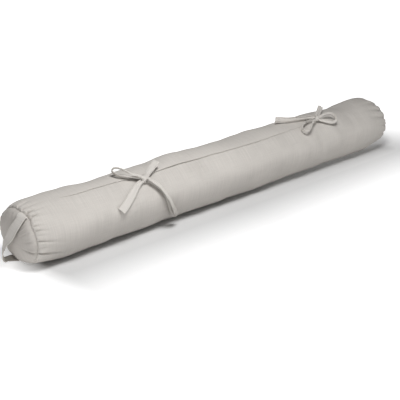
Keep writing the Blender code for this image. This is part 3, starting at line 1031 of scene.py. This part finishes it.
    def form(self, along: np.ndarray, angle: np.ndarray) -> np.ndarray:
        """The filled shape's own unevenness: its top, its underside and its fuller front.

        Args:
            along: places along the roll.
            angle: angles round it, in degrees.

        Returns:
            How far the cloth stands out at each of them.
        """
        top = hill(round_difference(angle, self.top_deg), self.form_deg)
        under = hill(round_difference(angle, self.under_deg), self.form_deg)
        front = hill(round_difference(angle, self.front_deg), self.front_wide)
        rise = read_along(FORMS, along, "top") * top + read_along(FORMS, along, "under") * under
        wave = np.sin(self.front_pace * along + self.front_start)
        uneven = self.front_even + (1.0 - self.front_even) * wave
        inner = ease((self.front_end - np.abs(along)) / self.front_fade)
        return rise + self.front_bulge * front * uneven * inner

    def rise(self, along: np.ndarray, angle: np.ndarray) -> np.ndarray:
        """Everything that lifts or sinks the cloth off the plain roll."""
        quiet = np.ones(np.shape(along))
        for end in (NEAR, FAR):
            quiet = quiet * ease(np.abs(along - self.seam_at(end)) / self.quiet_reach)
        slow = self.lump * unevenness(LUMPS, along, angle) + self.creased(along, angle)
        return self.form(along, angle) + slow * quiet + self.gathered(along, angle)

    def place(self, along: np.ndarray, angle: np.ndarray, radius: np.ndarray,
              centre: np.ndarray) -> np.ndarray:
        """Points at an angle round a section, laid flat where they meet the floor."""
        turn = np.radians(angle)
        up = np.maximum(centre + radius * np.sin(turn), 0.0)
        along = along + self.leaned(along, angle, up)
        points = np.stack(np.broadcast_arrays(along, -radius * np.cos(turn), up), axis=-1)
        return points + self.origin

    def leaned(self, along: np.ndarray, angle: np.ndarray, up: np.ndarray) -> np.ndarray:
        """How far the lean of the ends and the strap's pull move a place along the roll."""
        shift = 0.0
        for end in (NEAR, FAR):
            inside = (self.seam_at(end) - along) * end.side.value
            share = ease(1.0 - inside / self.lean_reach)
            shift = shift + end.side.value * end.lean * share * (up - self.lean_height)
        beside = hill(round_difference(angle, self.pull_deg), self.pull_wide)
        return shift + self.pull * beside * hill(along - self.seam_at(NEAR), self.pull_reach)

    def bulged(self, end: End, shares: np.ndarray, angle: np.ndarray) -> np.ndarray:
        """Share of an end's bulge at shares of its radius, squarer towards its top."""
        power = end.square + end.top_square * np.sin(np.radians(angle))
        return np.maximum(1.0 - shares ** power, 0.0) ** (1.0 / power)

    @staticmethod
    def outward(angle: float) -> np.ndarray:
        """Direction away from the roll's axis at an angle round it."""
        turn = math.radians(angle)
        return np.array([0.0, -math.cos(turn), math.sin(turn)])

    def ring_places(self) -> np.ndarray:
        """Places of the rings, closest together beside the end seams."""
        seams = (self.seam_at(NEAR), self.seam_at(FAR))
        places = [seams[0]]
        while places[-1] < seams[1] - self.seam_step:
            away = min(places[-1] - seams[0], seams[1] - places[-1])
            share = float(ease(np.array(away / self.seam_step_reach)))
            places.append(places[-1] + self.seam_step + (self.ring_step - self.seam_step) * share)
        places[-1] = seams[1]
        return np.array(places)

    def section(self, along: np.ndarray) -> tuple[np.ndarray, np.ndarray, np.ndarray]:
        """The rolled cloth's rings, from the flap's lip round to the slot below it.

        Args:
            along: the places of the rings.

        Returns:
            The angle, the radius and the length round the girth, one row for each ring.
        """
        edge = read_along(FLAP_EDGE, along, "angle")[:, None]
        lift = read_along(FLAP_LIPS, along, "lift")[:, None]
        slot = read_along(FLAP_LIPS, along, "slot")[:, None]
        base = self.radius_at(along)[:, None]
        turns = np.arange(self.facets_round) * 360.0 / self.facets_round
        angles = edge + turns[None, :]
        lip = lift * (1.0 - ease(turns / self.spread_deg))[None, :]
        radii = base + lip + self.rise(along[:, None], angles)
        floor = base + self.rise(along[:, None], edge)
        share = np.clip(lift / self.full_lift, 0.0, 1.0)
        hem = np.degrees(self.hem_round / self.radius) * share
        tuck = edge + self.tuck_deg * share
        half = edge + (tuck - edge) * 0.5
        under = floor + slot
        inner = [(edge, floor), (half, floor), (tuck, floor), (tuck, under), (half, under)]
        inner += [(edge - hem * back, under + (lift - slot) * up) for back, up in self.hem_curve]
        angles = np.concatenate([angles] + [angle for angle, _ in inner], axis=1)
        radii = np.concatenate([radii] + [radius for _, radius in inner], axis=1)
        girth = np.radians(np.concatenate([turns, 360.0 + np.arange(len(inner))])) * self.radius
        return angles, radii, np.repeat(girth[None, :], len(along), axis=0)

    def dome(self, end: End, count: int) -> Grid:
        """Rings of the filled end that lies under an end panel, from its rim inwards.

        Args:
            end: which end.
            count: how many points each ring has, as many as the roll's own rings.

        Returns:
            The rings, with the UV map's two lengths at each point.
        """
        shares = np.array(self.dome_shares)[:, None]
        side, centre = end.side.value, self.centre_at(np.array(end.seam_radius))
        edge = read_along(FLAP_EDGE, self.seam_at(end), "angle")
        turns = np.arange(self.facets_round) * 360.0 / self.facets_round
        slot = np.linspace(*self.dome_slot_deg, count - len(turns))
        turns = np.concatenate([turns, 360.0 + slot])
        angle = np.broadcast_to(edge + turns[None, :], (len(shares), len(turns)))
        along = self.seam_at(end) + side * (end.bulge - self.inset) * self.bulged(end, shares, angle)
        rim = end.seam_radius + self.form(self.seam_at(end), angle)
        radius = (rim - self.inset - self.dome_gap) * shares
        points = self.place(along, angle, radius, centre)
        return Grid(points, along, np.radians(np.broadcast_to(turns, along.shape)) * self.radius)

    def tip(self, end: End) -> np.ndarray:
        """The middle of the filled end under a panel."""
        along = self.seam_at(end) + end.side.value * (end.bulge - self.inset)
        centre = self.centre_at(np.array(end.seam_radius))
        return self.place(np.array(along), np.array(0.0), np.array(0.0), centre)

    def build(self) -> bpy.types.Object:
        """Build and dress the roll."""
        along = self.ring_places()
        angles, radii, girth = self.section(along)
        centre = self.centre_at(self.radius_at(along))[:, None]
        points = self.place(along[:, None], angles, radii, centre)
        places = np.broadcast_to(along[:, None], angles.shape)
        near, far = (self.dome(end, angles.shape[1]) for end in (NEAR, FAR))
        middle = (points, places, girth)
        grid = Grid(*(np.concatenate([first[::-1], between, last])
                      for first, between, last in zip(near, middle, far)))
        part = closed_tube("roll_cover", grid, self.slot_wrap, self.tip(NEAR), self.tip(FAR))
        dress(part, self.finish)
        return part


class StitchRun(NamedTuple):
    """Centres and headings of a run of stitches."""

    place: np.ndarray
    heading: np.ndarray


class Hemming(NamedTuple):
    """Edge stitches: their share of the half width, their spacing and the thread's height."""

    inset: float
    step: float
    lift: float


@dataclass
class EndPanel:
    """A round panel of cloth that bulges over the filling at one end."""

    roll: Roll
    end: End
    name: str
    node: str
    cloth: float = 0.002
    gap: float = 0.0003
    # A darker tint than the roll's cloth: painted shade, for the ends that are turned away from the
    # light
    finish: Linen = Linen("linen_end_panel_painted_shade", (0.480, 0.453, 0.424))

    # The mesh: points round each ring, rings, and the turn at which they stop beside the crown
    facets_round: int = 150
    rings: int = 34
    crown_turn: float = 0.02

    # The puckers that the gathers draw into the rim, the slow sag and the rim's tuck
    pucker: float = 0.0009
    pucker_reach: float = 0.16
    pucker_fade: float = 1.2
    pucker_wide: float = 1.3
    pucker_out: float = 3.0
    pucker_round: float = 0.35
    full_pleat: float = 0.002
    sag: float = 0.0007
    rim_tuck: float = 0.0008
    rim_tuck_fade: int = 6

    # The stitches across the seam
    stitch_step: float = 0.0042
    stitch_sunk: float = 0.0009

    def layer(self, inner: float) -> np.ndarray:
        """Rings of the panel's outer or inner face, from its rim towards its crown.

        Args:
            inner: how far the layer lies inside the outer face.

        Returns:
            The rings of points.
        """
        end, roll = self.end, self.roll
        shares = np.sin(np.linspace(math.pi / 2, self.crown_turn, self.rings))[:, None]
        angle = (np.arange(self.facets_round) * 360.0 / self.facets_round)[None, :]
        rim = hill(1.0 - shares, self.pucker_reach, self.pucker_fade)
        ripple = np.zeros((self.rings, self.facets_round))
        for pleat in roll.pleats[end]:
            off = round_difference(angle, pleat.angle)
            share = pleat.depth / self.full_pleat
            ripple = ripple - share * hill(off, self.pucker_wide * pleat.width_deg)
        sag = self.sag * unevenness(SAGS, 0.0, angle) * (1 - rim) * shares
        ripple = self.pucker * ripple * rim
        rim_radius = end.seam_radius + roll.form(roll.seam_at(end), angle)
        tuck = self.rim_tuck * rim ** self.rim_tuck_fade
        radius = (rim_radius - inner) * shares + self.pucker_round * ripple * shares - tuck
        out = (end.bulge - inner) * roll.bulged(end, shares, angle)
        out = out + self.pucker_out * ripple * (1 - rim) + sag
        along = roll.seam_at(end) + end.side.value * (self.gap + np.maximum(out, 0.0))
        centre = roll.centre_at(np.array(end.seam_radius))
        return roll.place(along, np.broadcast_to(angle, along.shape), radius, centre)

    def build(self) -> bpy.types.Object:
        """Build and dress the panel as one closed sheet."""
        outer, inner = self.layer(0.0), self.layer(self.cloth)
        points = np.concatenate([outer[::-1], inner])
        centre = outer.mean(axis=(0, 1))
        flat = points - centre
        grid = Grid(points, flat[..., 1], flat[..., 2])
        ends = [layer[-1].mean(axis=0) for layer in (outer, inner)]
        part = closed_tube(self.name, grid, 0.0, ends[0], ends[1])
        self.flat_map(part, centre)
        dress(part, self.finish)
        return part

    @staticmethod
    def flat_map(part: bpy.types.Object, centre: np.ndarray) -> None:
        """Lay the panel's UV map flat across the roll, in metres."""
        mesh = part.data
        points = np.zeros(len(mesh.vertices) * 3)
        mesh.vertices.foreach_get("co", points)
        corners = np.zeros(len(mesh.loops), np.int32)
        mesh.loops.foreach_get("vertex_index", corners)
        flat = (points.reshape(-1, 3) - centre)[corners][:, 1:]
        mesh.uv_layers[UV_NAME].data.foreach_set("uv", flat.astype(np.float32).ravel())

    def flat_size(self) -> float:
        """Diameter of the round cut that bulges into this panel."""
        return 2 * math.hypot(self.end.seam_radius, self.end.bulge)

    def stitches(self) -> StitchRun:
        """Stitches across the gathered seam round this panel."""
        end, roll = self.end, self.roll
        count = int(2 * math.pi * end.seam_radius / self.stitch_step)
        angle = np.arange(count) * 360.0 / count
        along = np.full(count, roll.seam_at(end))
        centre = roll.centre_at(np.array(end.seam_radius))
        place = roll.place(along, angle, end.seam_radius - self.stitch_sunk, centre)
        return StitchRun(place, np.broadcast_to(np.array([1.0, 0.0, 0.0]), place.shape))


class Path(NamedTuple):
    """A band's centre, width direction and width at each of its places."""

    centre: np.ndarray
    side: np.ndarray
    width: np.ndarray

    def run(self) -> np.ndarray:
        """Length from the start to each place."""
        steps = np.linalg.norm(np.diff(self.centre, axis=0), axis=1)
        return np.concatenate([[0.0], np.cumsum(steps)])


@dataclass
class Band:
    """A narrow strip of cloth along a path, folded lengthwise where it is pinched."""

    name: str
    path: Path
    flat_width: float
    thick: float
    across: int = 15

    # The hem that is turned over at the path's start
    hem: float = 0.0
    hem_thick: float = 0.0009
    hem_edge: float = 0.0012

    # The lengthwise folds, the flutter of the edges and the band's slight crown
    folds: float = 1.5
    fold_fill: float = 0.75
    fold_start: float = 0.15
    flutter: float = 0.0004
    flutter_pace: float = 190.0
    flutter_slant: float = 2.4
    flutter_fade: int = 3
    crown: float = 0.0004

    # The rounding of the edges: a high power keeps the band even right up to them
    edge_power: int = 14
    edge_share: float = 0.25

    def frames(self) -> tuple[np.ndarray, np.ndarray, np.ndarray]:
        """Heading, width direction and facing at each place of the path."""
        centre = self.path.centre
        ahead = unit(np.gradient(centre, axis=0))
        side = self.path.side - ahead * (self.path.side * ahead).sum(axis=1, keepdims=True)
        side = unit(side)
        return ahead, side, np.cross(ahead, side)

    def fold_depth(self) -> np.ndarray:
        """Depth of the lengthwise folds that take up the width that the path doesn't show."""
        extra = np.maximum(self.flat_width / self.path.width - 1.0, 0.0)
        return self.path.width / (math.pi * self.folds) * np.sqrt(extra) * self.fold_fill

    def sheet_point(self, share: np.ndarray, lift: np.ndarray) -> np.ndarray:
        """Points of the band at shares of its half width, lifted off its middle layer.

        Args:
            share: from -1 at one edge to 1 at the other, one value for each point across.
            lift: how far off the middle layer, for each place and point across.

        Returns:
            The points, one row for each place of the path.
        """
        _, side, facing = self.frames()
        run = self.path.run()[:, None]
        depth = self.fold_depth()[:, None]
        share = share[None, :]
        wave = depth * np.cos(math.pi * self.folds * (share + self.fold_start))
        flutter = np.sin(run * self.flutter_pace + self.flutter_slant * share)
        wave = wave + self.flutter * np.abs(share) ** self.flutter_fade * flutter
        wave = wave + self.crown * (0.5 - share ** 2)
        off_side = share * self.path.width[:, None] / 2
        return (self.path.centre[:, None, :] + side[:, None, :] * off_side[..., None]
                + facing[:, None, :] * (wave + lift)[..., None])

    def thickness(self) -> np.ndarray:
        """Thickness at each place, more where the end is turned over and sewn."""
        return self.thick + self.hem_thick * ease((self.hem - self.path.run()) / self.hem_edge)

    def build(self) -> bpy.types.Object:
        """Build the band as one closed sheet with rounded edges."""
        share = np.sin(np.linspace(-math.pi / 2, math.pi / 2, self.across))
        half = self.thickness()[:, None] / 2
        body = np.sqrt(np.clip(1.0 - np.abs(share) ** self.edge_power, 0.0, 1.0))
        body = np.maximum(body, self.edge_share)[None, :]
        upper = self.sheet_point(share, half * body)
        lower = self.sheet_point(share[::-1], -half * body[:, ::-1])
        points = np.concatenate([upper, lower], axis=1)
        run = np.broadcast_to(self.path.run()[:, None], points.shape[:2])
        lay = np.concatenate([share, share[::-1]]) * self.flat_width / 2
        grid = Grid(points, run, np.broadcast_to(lay[None, :], points.shape[:2]))
        return closed_tube(self.name, grid, 0.0, self.path.centre[0], self.path.centre[-1])

    def length(self) -> float:
        """Length of the band."""
        return float(self.path.run()[-1])

    def stitch_rows(self, hemming: Hemming) -> list[StitchRun]:
        """Rows of stitches along both edges of the band, on both of its faces.

        Args:
            hemming: where the rows run and how far apart their stitches are.

        Returns:
            One run of stitches for each edge and face.
        """
        ahead, _, facing = self.frames()
        run = self.path.run()
        marks = np.arange(hemming.step, run[-1] - hemming.step / 2, hemming.step)
        heading = unit(read_points(marks, run, ahead))
        rows = []
        for edge in (-hemming.inset, hemming.inset):
            for face in (-1.0, 1.0):
                lifts = np.full((len(run), 1), face * hemming.lift)
                line = self.sheet_point(np.array([edge]), lifts)[:, 0]
                rows.append(StitchRun(read_points(marks, run, line), heading))
        return rows


@dataclass
class Stitching:
    """Sewing thread that shows as small stitches, laid by Geometry Nodes on marked points."""

    name: str
    stitch: float = 0.0022
    thread: float = 0.00032
    segments: int = 6
    rings: int = 5
    finish: Thread = Thread("sewing_thread", (0.50, 0.475, 0.43))

    def tree(self, material: bpy.types.Material) -> bpy.types.NodeTree:
        """Build the node tree that puts a stitch on each point, turned along its heading.

        Args:
            material: what the stitches are made of.

        Returns:
            The tree, with the stitch's length and the thread's radius as its inputs.
        """
        tree = bpy.data.node_groups.new(self.name + "_tree", "GeometryNodeTree")
        for name, way, kind in (
            ("Geometry", "INPUT", "NodeSocketGeometry"),
            ("Stitch length", "INPUT", "NodeSocketFloat"),
            ("Thread radius", "INPUT", "NodeSocketFloat"),
            ("Geometry", "OUTPUT", "NodeSocketGeometry"),
        ):
            tree.interface.new_socket(name, in_out=way, socket_type=kind)
        nodes = tree.nodes
        source, sink = nodes.new("NodeGroupInput"), nodes.new("NodeGroupOutput")
        points = nodes.new("GeometryNodeMeshToPoints")
        ball = nodes.new("GeometryNodeMeshUVSphere")
        ball.inputs["Segments"].default_value = self.segments
        ball.inputs["Rings"].default_value = self.rings
        ball.inputs["Radius"].default_value = 1.0
        heading = nodes.new("GeometryNodeInputNamedAttribute")
        heading.data_type = "FLOAT_VECTOR"
        heading.inputs["Name"].default_value = "heading"
        turn = nodes.new("FunctionNodeAlignRotationToVector")
        turn.axis = "X"
        size = nodes.new("ShaderNodeCombineXYZ")
        halve = nodes.new("ShaderNodeMath")
        halve.operation = "MULTIPLY"
        halve.inputs[1].default_value = 0.5
        instance = nodes.new("GeometryNodeInstanceOnPoints")
        real = nodes.new("GeometryNodeRealizeInstances")
        dye = nodes.new("GeometryNodeSetMaterial")
        dye.inputs["Material"].default_value = material
        for giver, output, taker, entry in (
            (source, "Geometry", points, "Mesh"),
            (source, "Stitch length", halve, 0),
            (halve, 0, size, "X"),
            (source, "Thread radius", size, "Y"),
            (source, "Thread radius", size, "Z"),
            (heading, "Attribute", turn, "Vector"),
            (points, "Points", instance, "Points"),
            (ball, "Mesh", instance, "Instance"),
            (turn, "Rotation", instance, "Rotation"),
            (size, "Vector", instance, "Scale"),
            (instance, "Instances", real, "Geometry"),
            (real, "Geometry", dye, "Geometry"),
            (dye, "Geometry", sink, "Geometry"),
        ):
            tree.links.new(giver.outputs[output], taker.inputs[entry])
        return tree

    def build(self, runs: Sequence[StitchRun]) -> bpy.types.Object:
        """Lay the stitches of several runs as one plain mesh.

        Args:
            runs: the centres and headings of the stitches.

        Returns:
            The stitches as one object.
        """
        place = np.concatenate([run.place for run in runs])
        heading = np.concatenate([run.heading for run in runs])
        marks = bpy.data.meshes.new(self.name + "_marks")
        marks.from_pydata(place.tolist(), [], [])
        layer = marks.attributes.new("heading", "FLOAT_VECTOR", "POINT")
        layer.data.foreach_set("vector", heading.astype(np.float32).ravel())
        holder = set_down(self.name + "_marks", marks)
        tree = self.tree(self.finish.material())
        modifier = holder.modifiers.new("stitches", "NODES")
        modifier.node_group = tree
        sizes = {"Stitch length": self.stitch, "Thread radius": self.thread}
        for item in tree.interface.items_tree:
            if item.name in sizes:
                modifier[item.identifier] = sizes[item.name]
        graph = bpy.context.evaluated_depsgraph_get()
        mesh = bpy.data.meshes.new_from_object(holder.evaluated_get(graph))
        mesh.name = self.name
        mesh.shade_smooth()
        bpy.data.objects.remove(holder, do_unlink=True)
        return set_down(self.name, mesh)


@dataclass
class HangingStrap:
    """The strap across the near end, sewn into the end seam at both its ends."""

    roll: Roll
    width: float = 0.018
    thick: float = 0.0016
    steps: int = 9
    across: int = 19
    flutter: float = 0.0003
    crown: float = 0.0002
    hemming: Hemming = Hemming(inset=0.78, step=0.0032, lift=0.0008)
    # A lighter tint than the roll's cloth: painted light, for the strap's face that catches the
    # light
    finish: Linen = Linen("linen_strap_painted_light", (0.610, 0.584, 0.550))

    def path(self) -> Path:
        """The strap's path from its upper end to its lower one."""
        rows = []
        for row in STRAP:
            turn, lean = math.radians(row.turn), math.radians(row.lean)
            rows.append([row.along, row.across, row.up, math.sin(turn),
                         math.cos(turn) * math.cos(lean), math.cos(turn) * math.sin(lean)])
        line = smooth_path(np.array(rows), self.steps)
        width = np.full(len(line), self.width)
        return Path(line[:, :3] + self.roll.origin, line[:, 3:6], width)

    def band(self) -> Band:
        """The strap as a band of cloth."""
        return Band("hanging_strap", self.path(), self.width, self.thick, across=self.across,
                    flutter=self.flutter, crown=self.crown)

    def build(self) -> bpy.types.Object:
        """Build and dress the strap."""
        part = self.band().build()
        dress(part, self.finish)
        return part


@dataclass
class Knot:
    """The tape's own turn round the middle of a bow."""

    half_height: float = 0.0054
    half_width: float = 0.0056
    tape: float = 0.0085
    thick: float = 0.0014
    sink: float = 0.0018

    # The mesh: steps round the ring, and points over half the tape's section
    steps: int = 40
    across: int = 11

    # The creases along the tape, shallower below, and how it is pinched and slants
    crease: float = 0.0012
    creases: float = 1.3
    crease_under: float = 0.2
    pinch: float = 0.16
    slant: float = 0.0012

    def build(self, centre: np.ndarray, axis: np.ndarray, outward: np.ndarray,
              name: str) -> bpy.types.Object:
        """Build the turn of tape as a closed, creased ring.

        Args:
            centre: the middle of the knot.
            axis: the direction that the ring goes round, along the bow's loops.
            outward: the direction away from the cloth.
            name: the object's name.

        Returns:
            The ring.
        """
        across = unit(np.cross(axis, outward))
        outward = unit(np.cross(across, axis))
        turn = np.linspace(0.0, 2 * math.pi, self.steps, endpoint=False)
        lap = np.linspace(0.0, 2 * math.pi, 2 * self.across, endpoint=False)
        share = np.cos(lap)
        lift = np.sin(lap) * self.thick / 2
        wave = self.crease * np.cos(2 * math.pi * self.creases * share)
        middle = (1.0 + self.crease_under) / 2
        rows = []
        for angle in turn:
            pinch = 1.0 - self.pinch * math.cos(2 * angle)
            spoke = across * math.cos(angle) * self.half_width
            spoke = spoke + outward * math.sin(angle) * self.half_height
            deep = middle + (1.0 - middle) * math.sin(angle)
            off = share * self.tape / 2 * pinch + self.slant * math.sin(angle)
            rows.append(centre + spoke + unit(spoke) * (lift + wave * deep)[:, None]
                        + axis * off[:, None])
        points = np.array(rows)
        mesh = bpy.data.meshes.new(name)
        index = np.arange(points.shape[0] * points.shape[1]).reshape(points.shape[:2])
        below = np.roll(index, -1, axis=0)
        quads = np.stack([index, np.roll(index, -1, axis=1), np.roll(below, -1, axis=1), below], -1)
        mesh.from_pydata(points.reshape(-1, 3).tolist(), [], quads.reshape(-1, 4).tolist())
        layer = mesh.uv_layers.new(name=UV_NAME)
        rounds = turn * self.half_width
        lay = share * self.tape / 2
        flat = np.array([(rounds[(ring + down) % len(rounds)], lay[(place + over) % len(lay)])
                         for ring in range(len(rounds)) for place in range(len(lay))
                         for down, over in ((0, 0), (0, 1), (1, 1), (1, 0))])
        layer.data.foreach_set("uv", flat.astype(np.float32).ravel())
        mesh.shade_smooth()
        part = set_down(name, mesh)
        face_outwards(part)
        return part


@dataclass
class Tape:
    """One tape of a bow: its tail, its loop and, on the tape that ties it, the knot."""

    roll: Roll
    node: str
    rows: Sequence[TapeRow]
    knot_along: Optional[float] = None
    flat_width: float = 0.014
    thick: float = 0.0013
    steps: int = 12
    hem: float = 0.007
    hemming: Hemming = Hemming(inset=0.80, step=0.0030, lift=0.00065)
    # A lighter tint than the roll's cloth: painted light, so the tails stand out bright against the
    # roll
    finish: Linen = Linen("linen_tape_painted_light", (0.640, 0.611, 0.574), thread=0.0009, slub_share=0.10)

    def over_cloth(self, row: TapeRow) -> tuple[np.ndarray, np.ndarray]:
        """Point and width direction of a row, over the cloth as it lies.

        Args:
            row: the place on the tape's path.

        Returns:
            The point, and the direction in which the tape's width runs there.
        """
        radius = float(self.roll.radius_at(np.array(row.along)))
        centre = float(self.roll.centre_at(np.array(radius)))
        place, angle = np.array([row.along]), np.array([row.angle])
        lift = row.height + float(self.roll.rise(place, angle)[0])
        outward = self.roll.outward(row.angle)
        girth = np.array([0.0, outward[2], -outward[1]])
        point = np.array([row.along, 0.0, centre]) + outward * (radius + lift) + self.roll.origin
        side, tilt = math.radians(row.side), math.radians(row.tilt)
        width = np.array([1.0, 0.0, 0.0]) * math.cos(side) + girth * math.sin(side)
        return point, width * math.cos(tilt) + outward * math.sin(tilt)

    def path(self) -> Path:
        """The tape's path, its width directions following on from each other."""
        table = []
        last_side = None
        for row in self.rows:
            point, side = self.over_cloth(row)
            if last_side is not None and np.dot(side, last_side) < 0:
                side = -side
            last_side = side
            table.append([*point, *side, row.width])
        line = smooth_path(np.array(table), self.steps)
        return Path(line[:, :3], line[:, 3:6], line[:, 6])

    def band(self) -> Band:
        """The tape as a band of cloth, turned over and sewn at its tail's end."""
        return Band(self.node + "_tape", self.path(), self.flat_width, self.thick, hem=self.hem)

    def tie_knot(self) -> bpy.types.Object:
        """Build the knot's turn of tape at this tape's knot row."""
        row = next(row for row in self.rows if row.along == self.knot_along)
        point, _ = self.over_cloth(row)
        loop_root, _ = self.over_cloth(self.rows[self.rows.index(row) + 1])
        axis = unit(loop_root - point)
        outward = self.roll.outward(row.angle)
        knot = Knot()
        return knot.build(point - outward * knot.sink, axis, outward, self.node + "_knot")

    def build(self) -> bpy.types.Object:
        """Build and dress the tape, its knot joined to it."""
        part = self.band().build()
        if self.knot_along is not None:
            knot = self.tie_knot()
            both = [part, knot]
            with bpy.context.temp_override(active_object=part, selected_editable_objects=both):
                bpy.ops.object.join()
        dress(part, self.finish)
        return part


@dataclass
class Studio:
    """Camera, floor and soft lights.

    The camera's place is counted from the floor under the roll's middle, and the lights' from
    the frame's origin.
    """

    position: tuple[float, float, float] = (-1.35979, -1.38008, 0.76745)
    azimuth: float = -43.29
    elevation: float = 21.92
    lens: float = 92.62
    sensor: float = 36.0
    floor_size: float = 16.0
    floor_drop: float = 0.0004
    sun_away: float = 3.0
    world_strength: float = 0.08

    def camera(self, origin: np.ndarray) -> None:
        """Stand the camera where the photograph was taken from.

        Args:
            origin: the roll's middle, on the floor.
        """
        data = bpy.data.cameras.new("studio_camera")
        data.lens, data.sensor_width = self.lens, self.sensor
        camera = set_down("studio_camera", data)
        turn, rise = math.radians(self.azimuth), math.radians(self.elevation)
        right = Vector((math.cos(turn), math.sin(turn), 0.0))
        level = math.cos(rise)
        back = Vector((math.sin(turn) * level, -math.cos(turn) * level, math.sin(rise)))
        spin = Matrix((right, back.cross(right), back)).transposed().to_4x4()
        camera.matrix_world = Matrix.Translation(Vector(self.position) + Vector(origin)) @ spin
        bpy.context.scene.camera = camera

    def floor(self) -> None:
        """Lay the floor, with its painted light and painted shadow."""
        half = self.floor_size / 2
        mesh = bpy.data.meshes.new("studio_floor")
        corners = [(-half, -half, 0.0), (half, -half, 0.0), (half, half, 0.0), (-half, half, 0.0)]
        mesh.from_pydata(corners, [], [(0, 1, 2, 3)])
        floor = set_down("studio_floor", mesh)
        floor.location.z = -self.floor_drop
        dress(floor, StudioFloor())

    @staticmethod
    def aim(light: bpy.types.Object, toward: Vector, away: float) -> None:
        """Put a light some lengths of a direction away from the middle, facing it."""
        light.rotation_mode = "QUATERNION"
        light.rotation_quaternion = toward.to_track_quat("Z", "Y")
        light.location = toward * away

    def sun(self, name: str, toward: tuple[float, float, float], strength: float,
            spread_deg: float) -> None:
        """Add an even, soft light.

        Args:
            name: the light's name.
            toward: the direction from the object to the light.
            strength: its strength.
            spread_deg: how wide it looks from the object, in degrees.
        """
        data = bpy.data.lights.new(name, "SUN")
        data.energy, data.angle = strength, math.radians(spread_deg)
        self.aim(set_down(name, data), Vector(toward), self.sun_away)

    def softbox(self, name: str, place: tuple[float, float, float], power: float,
                size: float) -> None:
        """Hang a square soft light that faces the roll.

        Args:
            name: the light's name.
            place: where it hangs.
            power: its power in watts.
            size: the length of its sides.
        """
        data = bpy.data.lights.new(name, "AREA")
        data.energy, data.size = power, size
        self.aim(set_down(name, data), Vector(place), 1.0)

    def build(self, origin: np.ndarray) -> None:
        """Set up the camera, the floor, the lights and the plain colour handling.

        Args:
            origin: the roll's middle, on the floor.
        """
        self.camera(origin)
        self.floor()
        world = bpy.data.worlds.new("studio_world")
        world.use_nodes = True
        background = world.node_tree.nodes["Background"]
        background.inputs["Color"].default_value = (1.0, 1.0, 1.0, 1.0)
        background.inputs["Strength"].default_value = self.world_strength
        bpy.context.scene.world = world
        self.softbox("key_top", place=(-0.34, -0.44, 1.08), power=11.2, size=0.38)
        self.sun("low_front", toward=(0.10, -0.95, 0.22), strength=0.36, spread_deg=50.0)
        self.sun("low_back", toward=(0.0, 0.95, 0.24), strength=0.34, spread_deg=50.0)
        bpy.context.scene.view_settings.view_transform = "Standard"


def main() -> None:
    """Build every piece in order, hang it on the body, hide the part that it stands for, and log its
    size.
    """
    logging.basicConfig(level=logging.INFO, format="%(message)s")
    roll = Roll()
    cover = roll.build()
    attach(cover, BODY)
    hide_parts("cover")
    LOG.info("%s: %d faces", cover.name, len(cover.data.polygons))
    panels = (
        EndPanel(roll, NEAR, "round_end_near", "end_panel_near"),
        EndPanel(roll, FAR, "round_end_far", "end_panel_far"),
    )
    for panel in panels:
        part = panel.build()
        across = panel.flat_size()
        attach(part, BODY)
        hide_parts(panel.node)
        LOG.info("%s: %d faces", part.name, len(part.data.polygons))
    strap = HangingStrap(roll)
    part = strap.build()
    length = strap.band().length()
    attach(part, BODY)
    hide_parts("hanging_loop")
    LOG.info("%s: %d faces, %.3f m long", part.name, len(part.data.polygons), length)
    runs = strap.band().stitch_rows(strap.hemming)
    tapes = (
        Tape(roll, "tie_near_a", NEAR_A, NEAR_KNOT_ALONG),
        Tape(roll, "tie_near_b", NEAR_B),
        Tape(roll, "tie_far_a", FAR_A, FAR_KNOT_ALONG),
        Tape(roll, "tie_far_b", FAR_B),
    )
    for tape in tapes:
        part = tape.build()
        length = tape.band().length()
        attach(part, BODY)
        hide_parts(tape.node)
        LOG.info("%s: %d faces, %.3f m long", part.name, len(part.data.polygons), length)
        runs += tape.band().stitch_rows(tape.hemming)
    runs += [panel.stitches() for panel in panels]
    stitches = Stitching("stitching").build(runs)
    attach(stitches, BODY)
    LOG.info("%s: %d faces", stitches.name, len(stitches.data.polygons))
    Studio().build(roll.origin)


if __name__ == "__main__":
    main()
